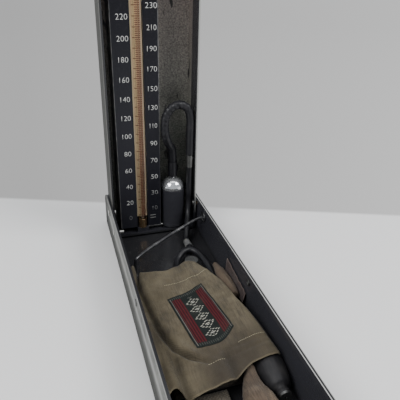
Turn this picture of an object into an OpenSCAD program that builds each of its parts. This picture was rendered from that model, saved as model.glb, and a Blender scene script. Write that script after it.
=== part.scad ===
// Desk mercury sphygmomanometer: a shallow steel case that holds the cuff, bulb and tubing,
// and a lid hinged at its rear that stands upright and carries the scale, tube and reservoir.
// X is across the case, +Y runs from the case's front to the hinge, +Z is up.
// The origin is the middle of the case's footprint, on the table.

/* [Case] */
// Outer width of the case
case_w = 101; // [99:0.5:106]
// Outer length of the case
case_l = 365; // [350:1:400]
// Height of the case rim above the table
case_h = 46; // [45:0.5:50]
// Thickness of the case's sheet steel
case_wall = 1; // [0.8:0.1:1.2]
// Width of the folded hem round the rim
case_hem_w = 2.6; // [2.2:0.1:3]
// Depth of the folded hem
case_hem_h = 5; // [4:0.5:6]
// Radius of the cut-down rear corners of the side walls
case_rear_r = 28; // [22:1:30]
// Radius of the case's upright corners
case_corner_r = 4; // [3:0.5:6]
// Height of the rubber feet
foot_h = 1.5; // [1:0.1:2]
// Radius of a rubber foot
foot_r = 6; // [4:0.5:8]
// Distance of a foot's centre from the case's sides
foot_inset = 11; // [9:0.5:16]

/* [Lid] */
// Depth of the lid, from its rim to its back
lid_d = 35.4; // [34:0.2:37]
// Thickness of the lid's sheet steel
lid_wall = 1; // [0.8:0.1:1.2]
// Width of the folded hem round the lid's rim
lid_hem_w = 2.2; // [1.8:0.1:2.4]
// Depth of the lid's hem
lid_hem_h = 3; // [2:0.5:3]
// Radius of the lid's corners
lid_corner_r = 4; // [2.5:0.5:5]
// Gap between the lid's side and the case hem
lid_side_gap = 0.4; // [0.3:0.05:0.6]
// Gap between the closed lid's end and the case hem
lid_end_gap = 1.4; // [1:0.1:1.8]
// Distance from the case's rear to the upright lid's back
lid_rear_gap = 15.6; // [15.2:0.1:17]
// Height of the upright lid's lower end above the table
lid_lift = 5; // [4.6:0.1:5.6]
// Radius of the rubber pads that the upright lid stands on
stop_pad_r = 5; // [3:0.5:7]

/* [Hinge] */
// Depth of the hinge pins below the case's rim
hinge_drop = 10; // [9.4:0.1:10.2]
// Distance of the hinge pins behind the lid's rim
hinge_setback = 4; // [3.9:0.1:5]
// Radius of a hinge pin
pin_r = 2; // [1.5:0.1:2.3]
// Radius of a hinge pin's head
pin_head_r = 3.5; // [3:0.1:3.7]
// Thickness of a hinge pin's head
pin_head_t = 1.2; // [0.8:0.1:1.6]
// Radius of the pressed boss round the lid's hinge hole
hinge_boss_r = 3.8; // [3.6:0.1:3.9]
// Running clearance round a hinge pin
pin_play = 0.05; // [0.03:0.01:0.08]

/* [Scale] */
// Distance from the lid's left side to the panel's face
panel_left = 9.4; // [8:0.2:9.8]
// Distance of the panel's face behind the lid's rim
panel_setback = 6; // [5:0.2:8]
// Thickness of the panel's sheet
panel_t = 1; // [0.8:0.1:1.2]
// Height of the panel's lower end above the table
panel_z = 12; // [12:0.2:14]
// Distance from the panel's upper end to the lid's top
panel_top_gap = 12; // [11:0.5:15]
// Width of the groove that holds the glass tube
groove_w = 12.4; // [11.8:0.1:13]
// Depth of the groove behind the panel's face
groove_d = 6; // [5.8:0.1:6.6]
// Distance from the panel's left edge to the groove's middle
groove_x = 24.6; // [23.6:0.1:25.6]
// Width of the printed strip behind the tube
strip_w = 12; // [11:0.1:12.2]
// Thickness of the printed strip behind the tube
strip_t = 0.8; // [0.5:0.1:1]
// Height of the scale's zero above the table
zero_z = 25; // [24.5:0.5:27]
// Outer radius of the glass tube
glass_r = 3.75; // [3.4:0.05:3.75]
// Radius of the glass tube's bore
glass_bore_r = 2.1; // [1.5:0.1:2.4]
// Wall of the nut at the foot of the glass tube
gland_wall = 0.8; // [0.6:0.1:0.8]
// Height of the nut at the foot of the glass tube
gland_h = 11; // [9:0.5:12]
// Height of the block that the nut screws into
block_h = 5.8; // [5:0.1:5.8]
// Radius of the screws that hold the panel
screw_r = 1.5; // [1.2:0.1:2]

/* [Reservoir] */
// Outer radius of the mercury reservoir
tank_r = 13.8; // [13:0.1:14]
// Wall of the reservoir
tank_wall = 2; // [1.5:0.1:3]
// Distance of the reservoir's middle from the lid's right wall
tank_side = 23; // [22.4:0.1:23.4]
// Gap between the reservoir and the scale panel
tank_panel_gap = 2.1; // [1.6:0.1:3]
// Distance of the reservoir's middle behind the lid's rim
tank_setback = 14.7; // [14.7:0.1:17]
// Height of the foot under the reservoir
tank_foot_h = 5.6; // [5:0.2:7]
// Length of the reservoir's body
tank_h = 42.2; // [42:0.2:46]
// Depth of the mercury in the reservoir
tank_fill = 18; // [10:1:30]
// Radius of the chromed dome
dome_r = 12.9; // [12.4:0.1:13]
// Height of the chromed dome
dome_h = 12.4; // [10:0.2:13]
// Radius of the hose nipple on the dome
nipple_r = 3; // [2.5:0.1:3.3]
// Length of the hose nipple
nipple_h = 7; // [6:0.5:10]

/* [Hoses] */
// Outer radius of the thick loop hose
loop_r = 4.6; // [4.2:0.1:4.8]
// Outer radius of the sleeve on the reservoir's nipple
sleeve_r = 5.3; // [5:0.1:5.6]
// Length of the sleeve on the reservoir's nipple
sleeve_h = 17; // [14:0.5:18]
// Outer radius of the thin hoses
hose_r = 3.4; // [3:0.1:3.5]
// Radius of the slip connector's body
slip_r = 3.9; // [3.6:0.1:4.2]
// Radius of the slip connector's flange
slip_flange_r = 4.5; // [4.3:0.1:4.6]
// Length of the flared coupler between the thin hoses
coupler_l = 11; // [9:0.5:12]

/* [Bail] */
// Radius of the bail wire
bail_r = 1.7; // [1.4:0.1:1.8]
// Radius of the stud on the left wall
stud_r = 2; // [1.7:0.1:2.2]
// Length of the stud on the left wall
stud_l = 9; // [7:0.5:11]
// Radius of the round plate on the right wall
plate_r = 6.2; // [5.6:0.1:6.6]
// Thickness of the round plate on the right wall
plate_t = 1.2; // [0.8:0.1:1.4]
// Radius of the rivet heads on the side walls
rivet_head_r = 3; // [2.4:0.1:3.4]

/* [Cuff and bulb] */
// Thickness of the cuff's cloth with its hem
cloth_t = 1.8; // [1.4:0.1:2]
// Thickness of the woven label
label_t = 0.5; // [0.3:0.1:0.8]
// Radius of the inflation bulb
bulb_r = 12.6; // [12:0.1:12.8]
// Length of the inflation bulb between its necks
bulb_l = 78; // [74:1:80]
// Wall of the inflation bulb
bulb_wall = 2; // [1.6:0.1:2.6]
// Radius of the bulb's necks
neck_r = 5; // [4.6:0.1:5.6]
// Length of each of the bulb's necks
neck_l = 5; // [4:0.5:6]
// Radius of the release valve's thumbscrew
thumb_r = 6.8; // [6:0.1:7.2]
// Thickness of the release valve's thumbscrew
thumb_h = 4.6; // [3.6:0.1:5]
// Radius of the release valve's body
valve_r = 5; // [4.4:0.1:5.4]
// Height of the release valve's body
valve_h = 9.6; // [9:0.1:10]

/* [Catch] */
// Travel of the sliding catch
catch_travel = 3; // [2.4:0.1:3]
// Width of the catch's tongue
catch_w = 10; // [8:0.5:14]
// Thickness of the catch's tongue
catch_t = 3.2; // [2.4:0.1:3.4]
// Width of the catch's thumb piece
thumbpiece_w = 18; // [16:0.5:24]
// Height of the catch's thumb piece
thumbpiece_h = 8; // [6.5:0.5:8.5]

/* [Hidden] */
$fn = 48;

fit = 0.05;          // clearance between fixed pieces that nest in each other
slide_fit = 0.2;     // clearance round the sliding catch
soft_gap = 0.3;      // clearance round soft pieces
over = 1;            // how far a cutter runs past what it cuts
head_t = 0.8;        // thickness of small flat heads

// Case
half_w = case_w / 2;
half_l = case_l / 2;
floor_z = foot_h + case_wall;
inner_x = half_w - case_wall;
rear_axis_y = half_l - case_rear_r;
rear_axis_z = case_h - case_rear_r;
hinge_z = case_h - hinge_drop;

// Lid, standing upright at the rear of the case
lid_half_w = half_w - case_hem_w - lid_side_gap;
lid_back_y = half_l - lid_rear_gap;
lid_rim_y = lid_back_y - lid_d;
lid_in_x = lid_half_w - lid_wall;
lid_in_y = lid_back_y - lid_wall;
lid_hem_x = lid_half_w - lid_hem_w;
lid_hem_y = lid_rim_y + lid_hem_h;
hinge_y = lid_rim_y + hinge_setback;
lid_top_z = hinge_z + hinge_y + half_l - case_hem_w - lid_end_gap;
lid_floor_z = lid_lift + lid_wall;

// Scale panel and glass tube
panel_x0 = panel_left - lid_half_w;
tank_x = lid_in_x - tank_side;
panel_x1 = tank_x - tank_r - tank_panel_gap;
panel_y = lid_rim_y + panel_setback;
panel_top_z = lid_top_z - panel_top_gap;
tube_x = panel_x0 + groove_x;
groove_x0 = tube_x - groove_w / 2;
groove_x1 = tube_x + groove_w / 2;
groove_y = panel_y + groove_d;
tube_y = groove_y - strip_t - 2 * fit - glass_r;
block_top_z = lid_floor_z + block_h;
block_half = 6.4;
seal_h = 1.2;
strip_gap = 0.3;
seal_z = block_top_z + fit;
tube_z = seal_z + seal_h + fit;
gland_r = glass_r + gland_wall;
gland_top_z = block_top_z + gland_h;
cap_h = 10;
cap_drop = 10;
cap_z = panel_top_z - cap_drop - cap_h;
tube_top_z = cap_z + cap_h / 2;
vent_r = 1;
lip_w = 9;
screw_inset_z = 18;
screw_zs = [panel_z + screw_inset_z, panel_top_z - screw_inset_z];
screw_xs = [panel_x0 + lip_w / 2, panel_x1 - lip_w / 2];
screw_head_r = 2 * screw_r;
nut_r = 2 * screw_r;
nut_h = 2;

// Reservoir
tank_y = lid_rim_y + tank_setback;
tank_z = lid_floor_z + tank_foot_h;
foot_ring_r = tank_r + 0.4;
foot_ring_h = 2.8;
foot_stem_r = 11;
gasket_t = 0.6;
dome_z = tank_z + tank_h + gasket_t;
dome_skirt = 1.6;
dome_wall = 1.5;
nipple_z = dome_z + dome_h;
pipe_r = 1.5;
pipe_y = tank_y - 4;
pipe_z = lid_floor_z + 3.2;
pipe_end_x = tank_x - 8;

// The hoses and what lies in the case were laid out with the lid's rim, the case floor and
// the inner walls at these places, and move with them
layout_rim_y = 131.5;
layout_floor_z = 2.5;
layout_inner_x = 49.5;
contents_y = lid_rim_y - layout_rim_y;
contents_z = floor_z - layout_floor_z;
widen = inner_x - layout_inner_x;

// Loop hose and slip connector, in the lid
sleeve_z = nipple_z + 2;
loop_z = sleeve_z + sleeve_h;
slip_x = 41 + widen;
slip_y = lid_rim_y + 5.5;
slip_top_z = 96;
slip_mid_z = 88;
slip_low_z = 81.5;
slip_neck = 2;
slip_flange_h = 2;
spigot_r = 2;
spigot_h = 5;
loop_route = [[tank_x, tank_y, loop_z], [22.5, slip_y + 7, 101], [18, slip_y + 3, 109],
    [14, slip_y, 119], [13, slip_y, 131], [15, slip_y, 142], [21, slip_y, 150],
    [30, slip_y, 152.5], [38, slip_y, 147.5], [slip_x, slip_y, 137], [slip_x, slip_y, 120],
    [slip_x, slip_y, slip_top_z]];

// Coupler in the case, and the thin hose that comes down to it from the lid
coupler_x = 28;
coupler_y = 101;
coupler_z = 7;
air_route = [[slip_x, slip_y, slip_low_z], [slip_x - 0.4, slip_y, 66],
    [slip_x - 0.4, slip_y, 50], [slip_x - 0.6, slip_y, 37], [slip_x - 1.7, slip_y - 3, 28],
    [slip_x - 4, slip_y - 9, 22], [33.5, slip_y - 19, 17], [30.5, slip_y - 27, 11.5],
    [28.4, slip_y - 32, 8.2], [coupler_x, coupler_y + contents_y, coupler_z + contents_z]];
coupler_flare_r = 4.1;

// The folded layers below and the bladder above them: distances from the left and right
// walls, the front and rear edges, the heights at the left and how much these rise
under_sides = [12.5, 27];
under_ends = [-98, 29];
under_top = 10;
under_rise = [0, 4.5];
bladder_sides = [13.5, 28.5];
bladder_ends = [-84, 22];
bladder_thick = 6.4;
bladder_rise = [under_rise[1], 5];

// Bulb, which lies along the right wall
bulb_side = 0.7;
bulb_x = inner_x - bulb_side - bulb_r;
bulb_z = layout_floor_z + 0.4 + bulb_r;
bulb_rear_y = -35;
outlet_l = 1;

// Tubes that lie in the case
lying_z = 6.3;
bladder_port = [4, bladder_ends[1] + soft_gap, 16.9];
valve_port = [14, bladder_ends[1] + soft_gap, 17.7];
valve_x = 19;
valve_y = 51.5;
valve_gap = 0.3;
cuff_tube_route = [[coupler_x, coupler_y - coupler_l, coupler_z], [27, 85, lying_z],
    [23, 74, lying_z], [19.5, 65, lying_z + 0.5], [valve_x, valve_y + 5.5, lying_z + 1.2]];
valve_tube_route = [[valve_x, valve_y - 5.5, 7.5], [18.4, 37, 10], [15.4, 30, 14.6], valve_port];
bulb_tube_route = [bladder_port, [4, 32, 13.4], [4, 38, 11.6], [4, 48, 9.5], [5, 57, 8],
    [9, 67, 9.5], [16.6, 72.8, 13.6], [24.4, 73.8, 14], [30, 68.5, 13], [33.6, 58, 11.5],
    [35.5, 46, 9.5], [35.8, 32, 7.5], [bulb_x - 0.6, 14, lying_z], [bulb_x - 0.2, -6, lying_z],
    [bulb_x, -20, 8.4], [bulb_x, -29, bulb_z - 1.2], [bulb_x, bulb_rear_y + outlet_l, bulb_z]];

// Bail, its stud and plate, and the rivets
stud_y = 104.5;
stud_z = case_h - 17.2;
plate_y = 106;
plate_z = case_h - 13;
rivet_y = -21.5;
rivet_z = case_h - 9.2;
shank_r = 1.5;
bail_route = [[layout_inner_x - plate_t, plate_y + 4, plate_z - contents_z - 3.5],
    [45, plate_y + 4.3, plate_z - contents_z - 4], [37.4, 108.1, 28],
    [25.7, 101.6, 27], [13.8, 94.8, 26], [-4.7, 82.6, 25], [-20.2, 72.2, 24],
    [-34.1, 61.4, 22.5], [-36.2, 60, 19], [-36.5, 59, 12], [-36.5, 58.5, 2.9]];

// Catch
arm_t = 2;
tongue_out = lid_end_gap + case_hem_w - case_wall - slide_fit;
tongue_top_z = lid_top_z + tongue_out - catch_travel;
arm_top_z = lid_top_z - lid_wall - catch_travel - 0.3;
arm_low_z = arm_top_z - arm_t;
tongue_y1 = hinge_y + case_h - case_hem_h - hinge_z - 0.5;
tongue_y0 = tongue_y1 - catch_t;
plate_y1 = lid_in_y - 0.3;
plate_drop = 5;
thumbpiece_t = 2.4;
stem_half = 3;
thumbpiece_z = arm_top_z - 2 * stem_half;
guide_wall = 2;
guide_y0 = lid_rim_y + 16;
guide_l = 9;

// Colours
black_enamel = [0.09, 0.10, 0.11];
grey_paint = [0.55, 0.56, 0.54];
rubber_black = [0.10, 0.10, 0.10];
ivory = [0.80, 0.72, 0.52];
khaki = [0.44, 0.40, 0.28];
nickel = [0.72, 0.72, 0.70];
brass = [0.66, 0.50, 0.26];
mercury = [0.80, 0.80, 0.82];

// ---------- shapes that repeat ----------

function unit(v) = v / norm(v);
function mix(a, b, t) = a + (b - a) * t;
function ease(t) = let (s = min(1, max(0, t))) s * s * (3 - 2 * s);
function hump(d, w) = exp(-pow(d / w, 2));
function same(value, list) = [for (p = list) value];

// A point of the smooth curve through the points p, between point i and the next
function curve_point(p, i, t) =
    let (n = len(p) - 1, a = p[max(i - 1, 0)], b = p[i], c = p[i + 1], d = p[min(i + 2, n)])
    0.5 * (2 * b + (c - a) * t + (2 * a - 5 * b + 4 * c - d) * t * t
        + (3 * b - 3 * c + d - a) * t * t * t);

function curve(p, steps) =
    [for (i = [0 : len(p) - 2], k = [0 : steps - 1]) curve_point(p, i, k / steps),
        p[len(p) - 1]];

// A tube or roll along a route, with its radius at each point of the route. Its end faces are
// square to first and last, and flat is its height as a share of its width.
module swept(route, radii, side, first, last, steps = 2, sides = 10, flat = 1) {
    line = curve(route, steps);
    rad = curve(radii, steps);
    m = len(line) - 1;
    ways = [for (i = [0 : m]) i == 0 ? unit(first) : i == m ? unit(last)
        : unit(line[i + 1] - line[i - 1])];
    points = [for (i = [0 : m])
        let (a = unit(cross(side, ways[i])), b = cross(ways[i], a))
        for (k = [0 : sides - 1])
            line[i] + rad[i] * (a * cos(360 * k / sides) + b * flat * sin(360 * k / sides))];
    walls = [for (i = [0 : m - 1], k = [0 : sides - 1])
        let (n = (k + 1) % sides, p = i * sides, q = p + sides)
        each [[p + k, q + k, q + n], [p + k, q + n, p + n]]];
    caps = [for (k = [1 : sides - 2])
        each [[0, k, k + 1], [m * sides, m * sides + k + 1, m * sides + k]]];
    polyhedron(points, concat(walls, caps), convexity = 6);
}

// A closed piece of cloth between two surfaces given as functions of u and v, 0 to 1.
// u runs to +X and v runs to -Y.
module cloth(top, bottom, nu, nv) {
    row = nv + 1;
    total = (nu + 1) * row;
    points = concat(
        [for (i = [0 : nu], j = [0 : nv]) top(i / nu, j / nv)],
        [for (i = [0 : nu], j = [0 : nv]) bottom(i / nu, j / nv)]);
    faces = [for (i = [0 : nu - 1], j = [0 : nv - 1])
        let (a = i * row + j, b = a + row, c = b + 1, d = a + 1)
        each [[a, b, c], [a, c, d],
            [a + total, c + total, b + total], [a + total, d + total, c + total]]];
    rear = [for (i = [0 : nu - 1]) let (a = i * row, b = a + row)
        each [[b, a, a + total], [b, a + total, b + total]]];
    front = [for (i = [0 : nu - 1]) let (d = i * row + nv, c = d + row)
        each [[d, c, c + total], [d, c + total, d + total]]];
    left = [for (j = [0 : nv - 1]) let (a = j, d = j + 1)
        each [[a, d, d + total], [a, d + total, a + total]]];
    right = [for (j = [0 : nv - 1]) let (b = nu * row + j, c = b + 1)
        each [[c, b, b + total], [c, b + total, c + total]]];
    polyhedron(points, concat(faces, rear, front, left, right), convexity = 6);
}

module round_rect(w, l, r) {
    square([w - 2 * r, l], center = true);
    square([w, l - 2 * r], center = true);
    for (x = [-1, 1], y = [-1, 1]) translate([x * (w / 2 - r), y * (l / 2 - r)]) circle(r);
}

// A box from its low corner to its high corner
module block(low, high) {
    translate(low) cube(high - low);
}

// A cylinder along X between two places
module rod_x(x0, x1, y, z, r) {
    translate([min(x0, x1), y, z]) rotate([0, 90, 0]) cylinder(r = r, h = abs(x1 - x0));
}

// A cylinder along Y between two places
module rod_y(y0, y1, x, z, r) {
    translate([x, min(y0, y1), z]) rotate([-90, 0, 0]) cylinder(r = r, h = abs(y1 - y0));
}

// An upright cylinder between two heights
module post(x, y, z0, z1, r) {
    translate([x, y, z0]) cylinder(r = r, h = z1 - z0);
}

// A rivet through a side wall: s is -1 for the left wall, 1 for the right wall
module wall_rivet(s, y, z, head_r, inner_head_t) {
    rod_x(s * (inner_x - inner_head_t), s * (half_w + head_t), y, z, shank_r);
    rod_x(s * (inner_x - inner_head_t), s * (inner_x - fit), y, z, head_r);
    rod_x(s * (half_w + fit), s * (half_w + head_t), y, z, rivet_head_r);
}

// What lies in the case moves with the lid's rim and the case floor
module in_case() {
    translate([0, contents_y, contents_z]) children();
}

// ---------- case ----------

// The side wall's outline as a solid, with its edge lowered by drop
module case_profile(drop) {
    block([-half_w - over, -half_l - over, 0], [half_w + over, rear_axis_y, case_h - drop]);
    block([-half_w - over, 0, 0], [half_w + over, half_l + over, rear_axis_z]);
    rod_x(-half_w - over, half_w + over, rear_axis_y, rear_axis_z, case_rear_r - drop);
}

// The space inside the case's walls, set in by wall from its outside
module case_inside(wall) {
    translate([0, 0, floor_z]) linear_extrude(case_h)
        round_rect(case_w - 2 * wall, case_l - 2 * wall, case_corner_r - case_wall);
}

module case_tray() color(grey_paint) difference() {
    intersection() {
        translate([0, 0, foot_h]) linear_extrude(case_h - foot_h)
            round_rect(case_w, case_l, case_corner_r);
        case_profile(0);
    }
    case_inside(case_hem_w);
    intersection() {
        case_inside(case_wall);
        case_profile(case_hem_h);
    }
    for (s = [-1, 1]) {
        rod_x(s * (inner_x - over), s * (half_w + over), hinge_y, hinge_z, pin_r + fit);
        rod_x(s * (inner_x - over), s * (half_w + over), rivet_y + contents_y, rivet_z,
            shank_r + fit);
    }
    rod_x(-inner_x + over, -half_w - over, stud_y + contents_y, stud_z, shank_r + fit);
    rod_x(inner_x - over, half_w + over, plate_y + contents_y, plate_z, shank_r + fit);
}

module rubber_feet() color(rubber_black)
    for (x = [-1, 1], y = [-1, 1])
        post(x * (half_w - foot_inset), y * (half_l - foot_inset), 0, foot_h, foot_r);

module lid_stop_pads() color(rubber_black)
    for (s = [-1, 1])
        post(s * lid_half_w * 0.7, lid_back_y - stop_pad_r - 2, floor_z, lid_lift - 0.1,
            stop_pad_r);

module hinge_pins() color(nickel) for (s = [-1, 1]) {
    rod_x(s * (lid_hem_x - pin_head_t), s * (half_w + pin_head_t), hinge_y, hinge_z, pin_r);
    rod_x(s * (half_w + fit), s * (half_w + pin_head_t), hinge_y, hinge_z, pin_head_r);
    rod_x(s * (lid_hem_x - pin_head_t), s * (lid_hem_x - fit), hinge_y, hinge_z, pin_head_r);
}

module hinge_washers() color(brass) for (s = [-1, 1]) difference() {
    rod_x(s * (lid_half_w + fit), s * (inner_x - fit), hinge_y, hinge_z, pin_head_r);
    rod_x(s * lid_half_w, s * inner_x, hinge_y, hinge_z, pin_r + fit);
}

module bail_stud() color(nickel) {
    wall_rivet(-1, stud_y + contents_y, stud_z, stud_r + 1, head_t);
    rod_x(-inner_x + fit, -inner_x + stud_l, stud_y + contents_y, stud_z, stud_r);
}

module bail_plate() color(black_enamel)
    wall_rivet(1, plate_y + contents_y, plate_z, plate_r, plate_t);

// The wire starts on the plate's face and comes down across the case to the floor at its left
module bail_wire() color(black_enamel) translate([widen, 0, 0]) in_case()
    swept(bail_route, same(bail_r, bail_route), [0, 1, 0], [-1, 0, 0], [0, 0, -1], 2, 8);

module wall_rivets() color(nickel)
    for (s = [-1, 1]) wall_rivet(s, rivet_y + contents_y, rivet_z, rivet_head_r, head_t);

// ---------- cuff ----------

// Outline of the cuff's top sheet: its rear and front edges along u, and the distances of its
// side edges from the case's walls along v
rear_edge = [[0, 38], [0.29, 35], [0.5, 32.5], [0.71, 35.5], [0.94, 38.4], [1, 37.5]];
front_edge = [[0, -104], [0.1, -101], [0.15, -112.5], [0.3, -110.5], [0.45, -109.5],
    [0.57, -107.5], [0.67, -102], [0.75, -98.6], [1, -97]];
left_edge = [[0, 12.5], [0.12, 7.5], [0.25, 4], [1, 3.5]];
right_edge = [[0, 32.5], [0.13, 23], [0.27, 17.2], [0.49, 14.3], [0.62, 10.7], [0.76, 8.3],
    [1, 5.2]];
crease = [[-82, -13], [-74, -22], [-50, -32.5], [-20, -38.5], [10, -41]];
sheet_low_z = 20.5;
sheet_rise = 5.5;

function sheet_x(u, v) = mix(lookup(v, left_edge) - inner_x, inner_x - lookup(v, right_edge), u);
function sheet_y(u, v) = mix(lookup(u, rear_edge), lookup(u, front_edge), v);

// Height of the top sheet: a rise from left to right, a lift over the bulb, pleats at both
// ends and one long crease
function sheet_z(x, y) =
    sheet_low_z + sheet_rise * ease((x + 46) / 50)
    + 4.4 * hump(x - bulb_x, 15) * ease((20 - y) / 60)
    + 1.2 * sin(x * 9 + 40) * ease((y - 5) / 30)
    + 1.6 * sin(x * 8 + 10) * ease((-75 - y) / 35)
    - 3 * hump(x - lookup(y, crease), 4.5) * ease((y + 96) / 16);

function sheet_point(u, v, lift) =
    let (x = sheet_x(u, v), y = sheet_y(u, v)) [x, y, sheet_z(x, y) + lift];

module cuff_top() color(khaki) in_case()
    cloth(function(u, v) sheet_point(u, v, 0), function(u, v) sheet_point(u, v, -cloth_t),
        20, 24);

// The label's corners: rear left, rear right, front right and front left
label_corners = [[-21.5, -10], [13, 2], [21, -60], [-13, -75.5]];

function label_point(u, v, lift) =
    let (p = mix(mix(label_corners[0], label_corners[1], u),
        mix(label_corners[3], label_corners[2], u), v))
    [p[0], p[1], sheet_z(p[0], p[1]) + soft_gap + lift];

module cuff_label() color([0.25, 0.10, 0.11]) in_case()
    cloth(function(u, v) label_point(u, v, label_t), function(u, v) label_point(u, v, 0), 8, 12);

// A stuffed slab between two corners, thinner towards its edges. Its underside and its top
// rise towards +X by the two values of rise.
slab_edge = 0.35;

function slab_point(low, high, rise, u, v, side) =
    let (full = pow(max(0, sin(180 * u) * sin(180 * v)), 0.4),
        bottom = low[2] + rise[0] * u,
        half = (high[2] + rise[1] * u - bottom) / 2)
    [mix(low[0], high[0], u), mix(high[1], low[1], v),
        bottom + half + side * half * mix(slab_edge, 1, full)];

module slab(low, high, rise, nu, nv)
    cloth(function(u, v) slab_point(low, high, rise, u, v, 1),
        function(u, v) slab_point(low, high, rise, u, v, -1), nu, nv);

module cuff_under() color(khaki * 0.8) in_case()
    slab([under_sides[0] - inner_x, under_ends[0], layout_floor_z + soft_gap],
        [inner_x - under_sides[1], under_ends[1], under_top], under_rise, 8, 12);

module bladder() color([0.16, 0.13, 0.12]) in_case()
    slab([bladder_sides[0] - inner_x, bladder_ends[0], under_top + soft_gap + 0.1],
        [inner_x - bladder_sides[1], bladder_ends[1], under_top + soft_gap + 0.1
            + bladder_thick], bladder_rise, 8, 10);

// Rolls of folded cloth: middles and radii. The left one is set from the left wall.
left_roll = [[8.5, 51.5, 19.2], [8.4, 49.5, 19.3], [7.6, 41, 17.8], [6.9, 32, 15.1], [6.4, 22, 12.1],
    [6.1, 5, 11], [6, -20, 10.8], [6, -60, 10.4], [6, -90, 10.2], [6, -97, 10.2]];
left_roll_radii = [2.2, 3.5, 3.9, 3.9, 4.2, 4.5, 4.7, 4.7, 4.6, 3];
right_roll = [[10.3, 37.5, 17.4], [10.2, 35.5, 17.4], [9.8, 30, 17.4], [9.5, 12, 17.6],
    [9, -14, 18]];
right_roll_radii = [3.4, 5.1, 5.7, 5.6, 4.4];

module cuff_roll_left() color(khaki * 0.9) translate([-inner_x, 0, 0]) in_case()
    swept(left_roll, left_roll_radii, [0, 0, 1], [0, -1, 0], [0, -1, 0], 2, 10);

module cuff_roll_right() color([0.34, 0.30, 0.25]) translate([inner_x, 0, 0]) in_case()
    swept([for (p = right_roll) [-p[0], p[1], p[2]]], right_roll_radii, [0, 0, 1],
        [0, -1, 0], [0, -1, 0], 3, 12);

// A turned-up edge of cloth that leans on the right wall
fold_ends = [28, -20];
fold_t = 1.1;
fold_foot = [2.4, 3.6];
fold_top_gap = head_t + soft_gap;
fold_low = [11, 14];
fold_high = [29.5, 23.5];

function fold_point(u, v, lift) =
    [inner_x - mix(mix(fold_foot[0], fold_foot[1], v), fold_top_gap, u) - lift * 0.4,
        mix(fold_ends[0], fold_ends[1], v),
        mix(mix(fold_low[0], fold_low[1], v), mix(fold_high[0], fold_high[1], v), u) + lift];

module cuff_fold() color([0.28, 0.19, 0.16]) in_case()
    cloth(function(u, v) fold_point(u, v, fold_t), function(u, v) fold_point(u, v, 0), 6, 10);

tail_route = [[19.6, -90, 20], [18.2, -98, 18.6], [15.8, -106, 15.6], [15.9, -117, 15.4],
    [16.7, -136, 14.8], [16, -148, 14], [15.5, -154, 13]];
tail_radii = [2, 3.8, 7.4, 11.4, 13.2, 9.5, 4];

module cuff_tail() color([0.36, 0.29, 0.24]) translate([widen, 0, 0]) in_case()
    swept(tail_route, tail_radii, [0, 0, 1], [0, -1, 0], [0, -1, 0], 3, 14, 0.8);

strap_sides = [18.5, 48];
strap_ends = [-168, -99.5];
strap_top = 8;

module cuff_strap() color([0.40, 0.37, 0.31]) in_case()
    slab([strap_sides[0] - inner_x, strap_ends[0], layout_floor_z + soft_gap],
        [inner_x - strap_sides[1], strap_ends[1], strap_top], [0, 0], 6, 10);

// ---------- bulb, valve and tubes ----------

// Half outline of the bulb from its front neck to its rear neck, at a distance inside its skin
function bulb_outline(inset) = concat(
    [[0, -bulb_l / 2 - neck_l], [neck_r - inset, -bulb_l / 2 - neck_l],
        [neck_r - inset, -bulb_l / 2]],
    [for (a = [-75 : 15 : 75]) [neck_r - inset + (bulb_r - neck_r) * pow(cos(a), 0.7),
        (bulb_l / 2 - inset) * sin(a)]],
    [[neck_r - inset, bulb_l / 2], [neck_r - inset, bulb_l / 2 + neck_l],
        [0, bulb_l / 2 + neck_l]]);

bulb_y = bulb_rear_y - neck_l - bulb_l / 2;

// Turns a shape made along Z so that it lies along the bulb
module along_bulb() {
    in_case() translate([bulb_x, bulb_y, bulb_z]) rotate([-90, 0, 0]) children();
}

module bulb() color([0.16, 0.16, 0.17]) along_bulb() difference() {
    rotate_extrude() polygon(bulb_outline(0));
    rotate_extrude() polygon(bulb_outline(bulb_wall));
}

// The fittings in the bulb's necks: a plug inside the neck and a head outside it
inlet_head_l = 2;
inlet_hole_r = 1.2;

module bulb_inlet_valve() color(nickel) along_bulb() difference() {
    union() {
        post(0, 0, -bulb_l / 2 - neck_l - fit, -bulb_l / 2, neck_r - bulb_wall - fit);
        post(0, 0, -bulb_l / 2 - neck_l - inlet_head_l, -bulb_l / 2 - neck_l - fit, neck_r);
    }
    post(0, 0, -bulb_l, 0, inlet_hole_r);
}

module bulb_outlet() color(nickel) along_bulb() difference() {
    union() {
        post(0, 0, bulb_l / 2, bulb_l / 2 + neck_l + fit, neck_r - bulb_wall - fit);
        post(0, 0, bulb_l / 2 + neck_l + fit, bulb_l / 2 + neck_l + outlet_l, neck_r);
    }
    post(0, 0, 0, bulb_l, inlet_hole_r);
}

module bulb_tube() color(rubber_black) in_case()
    swept(bulb_tube_route, same(hose_r, bulb_tube_route), [0, 0, 1], [0, 1, 0], [0, -1, 0],
        2, 8);

valve_foot = layout_floor_z + valve_gap;
valve_top = valve_foot + valve_h;
screw_gap = 0.4;
needle_r = 1.6;
needle_l = 5;
port_r = 2.2;

module valve_body() color(nickel) in_case() difference() {
    union() {
        post(valve_x, valve_y, valve_foot, valve_top, valve_r);
        rod_y(valve_y, valve_y + valve_r + 0.5, valve_x, valve_foot + 4.7, port_r + 0.8);
        rod_y(valve_y - valve_r - 0.5, valve_y, valve_x, valve_foot + 4.7, port_r + 0.8);
    }
    post(valve_x, valve_y, valve_top - needle_l - 1, valve_top + over, needle_r + pin_play);
}

// The thumbscrew: a knurled disc on a needle that screws into the valve's body
knurls = 24;
knurl_r = 0.45;

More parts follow.
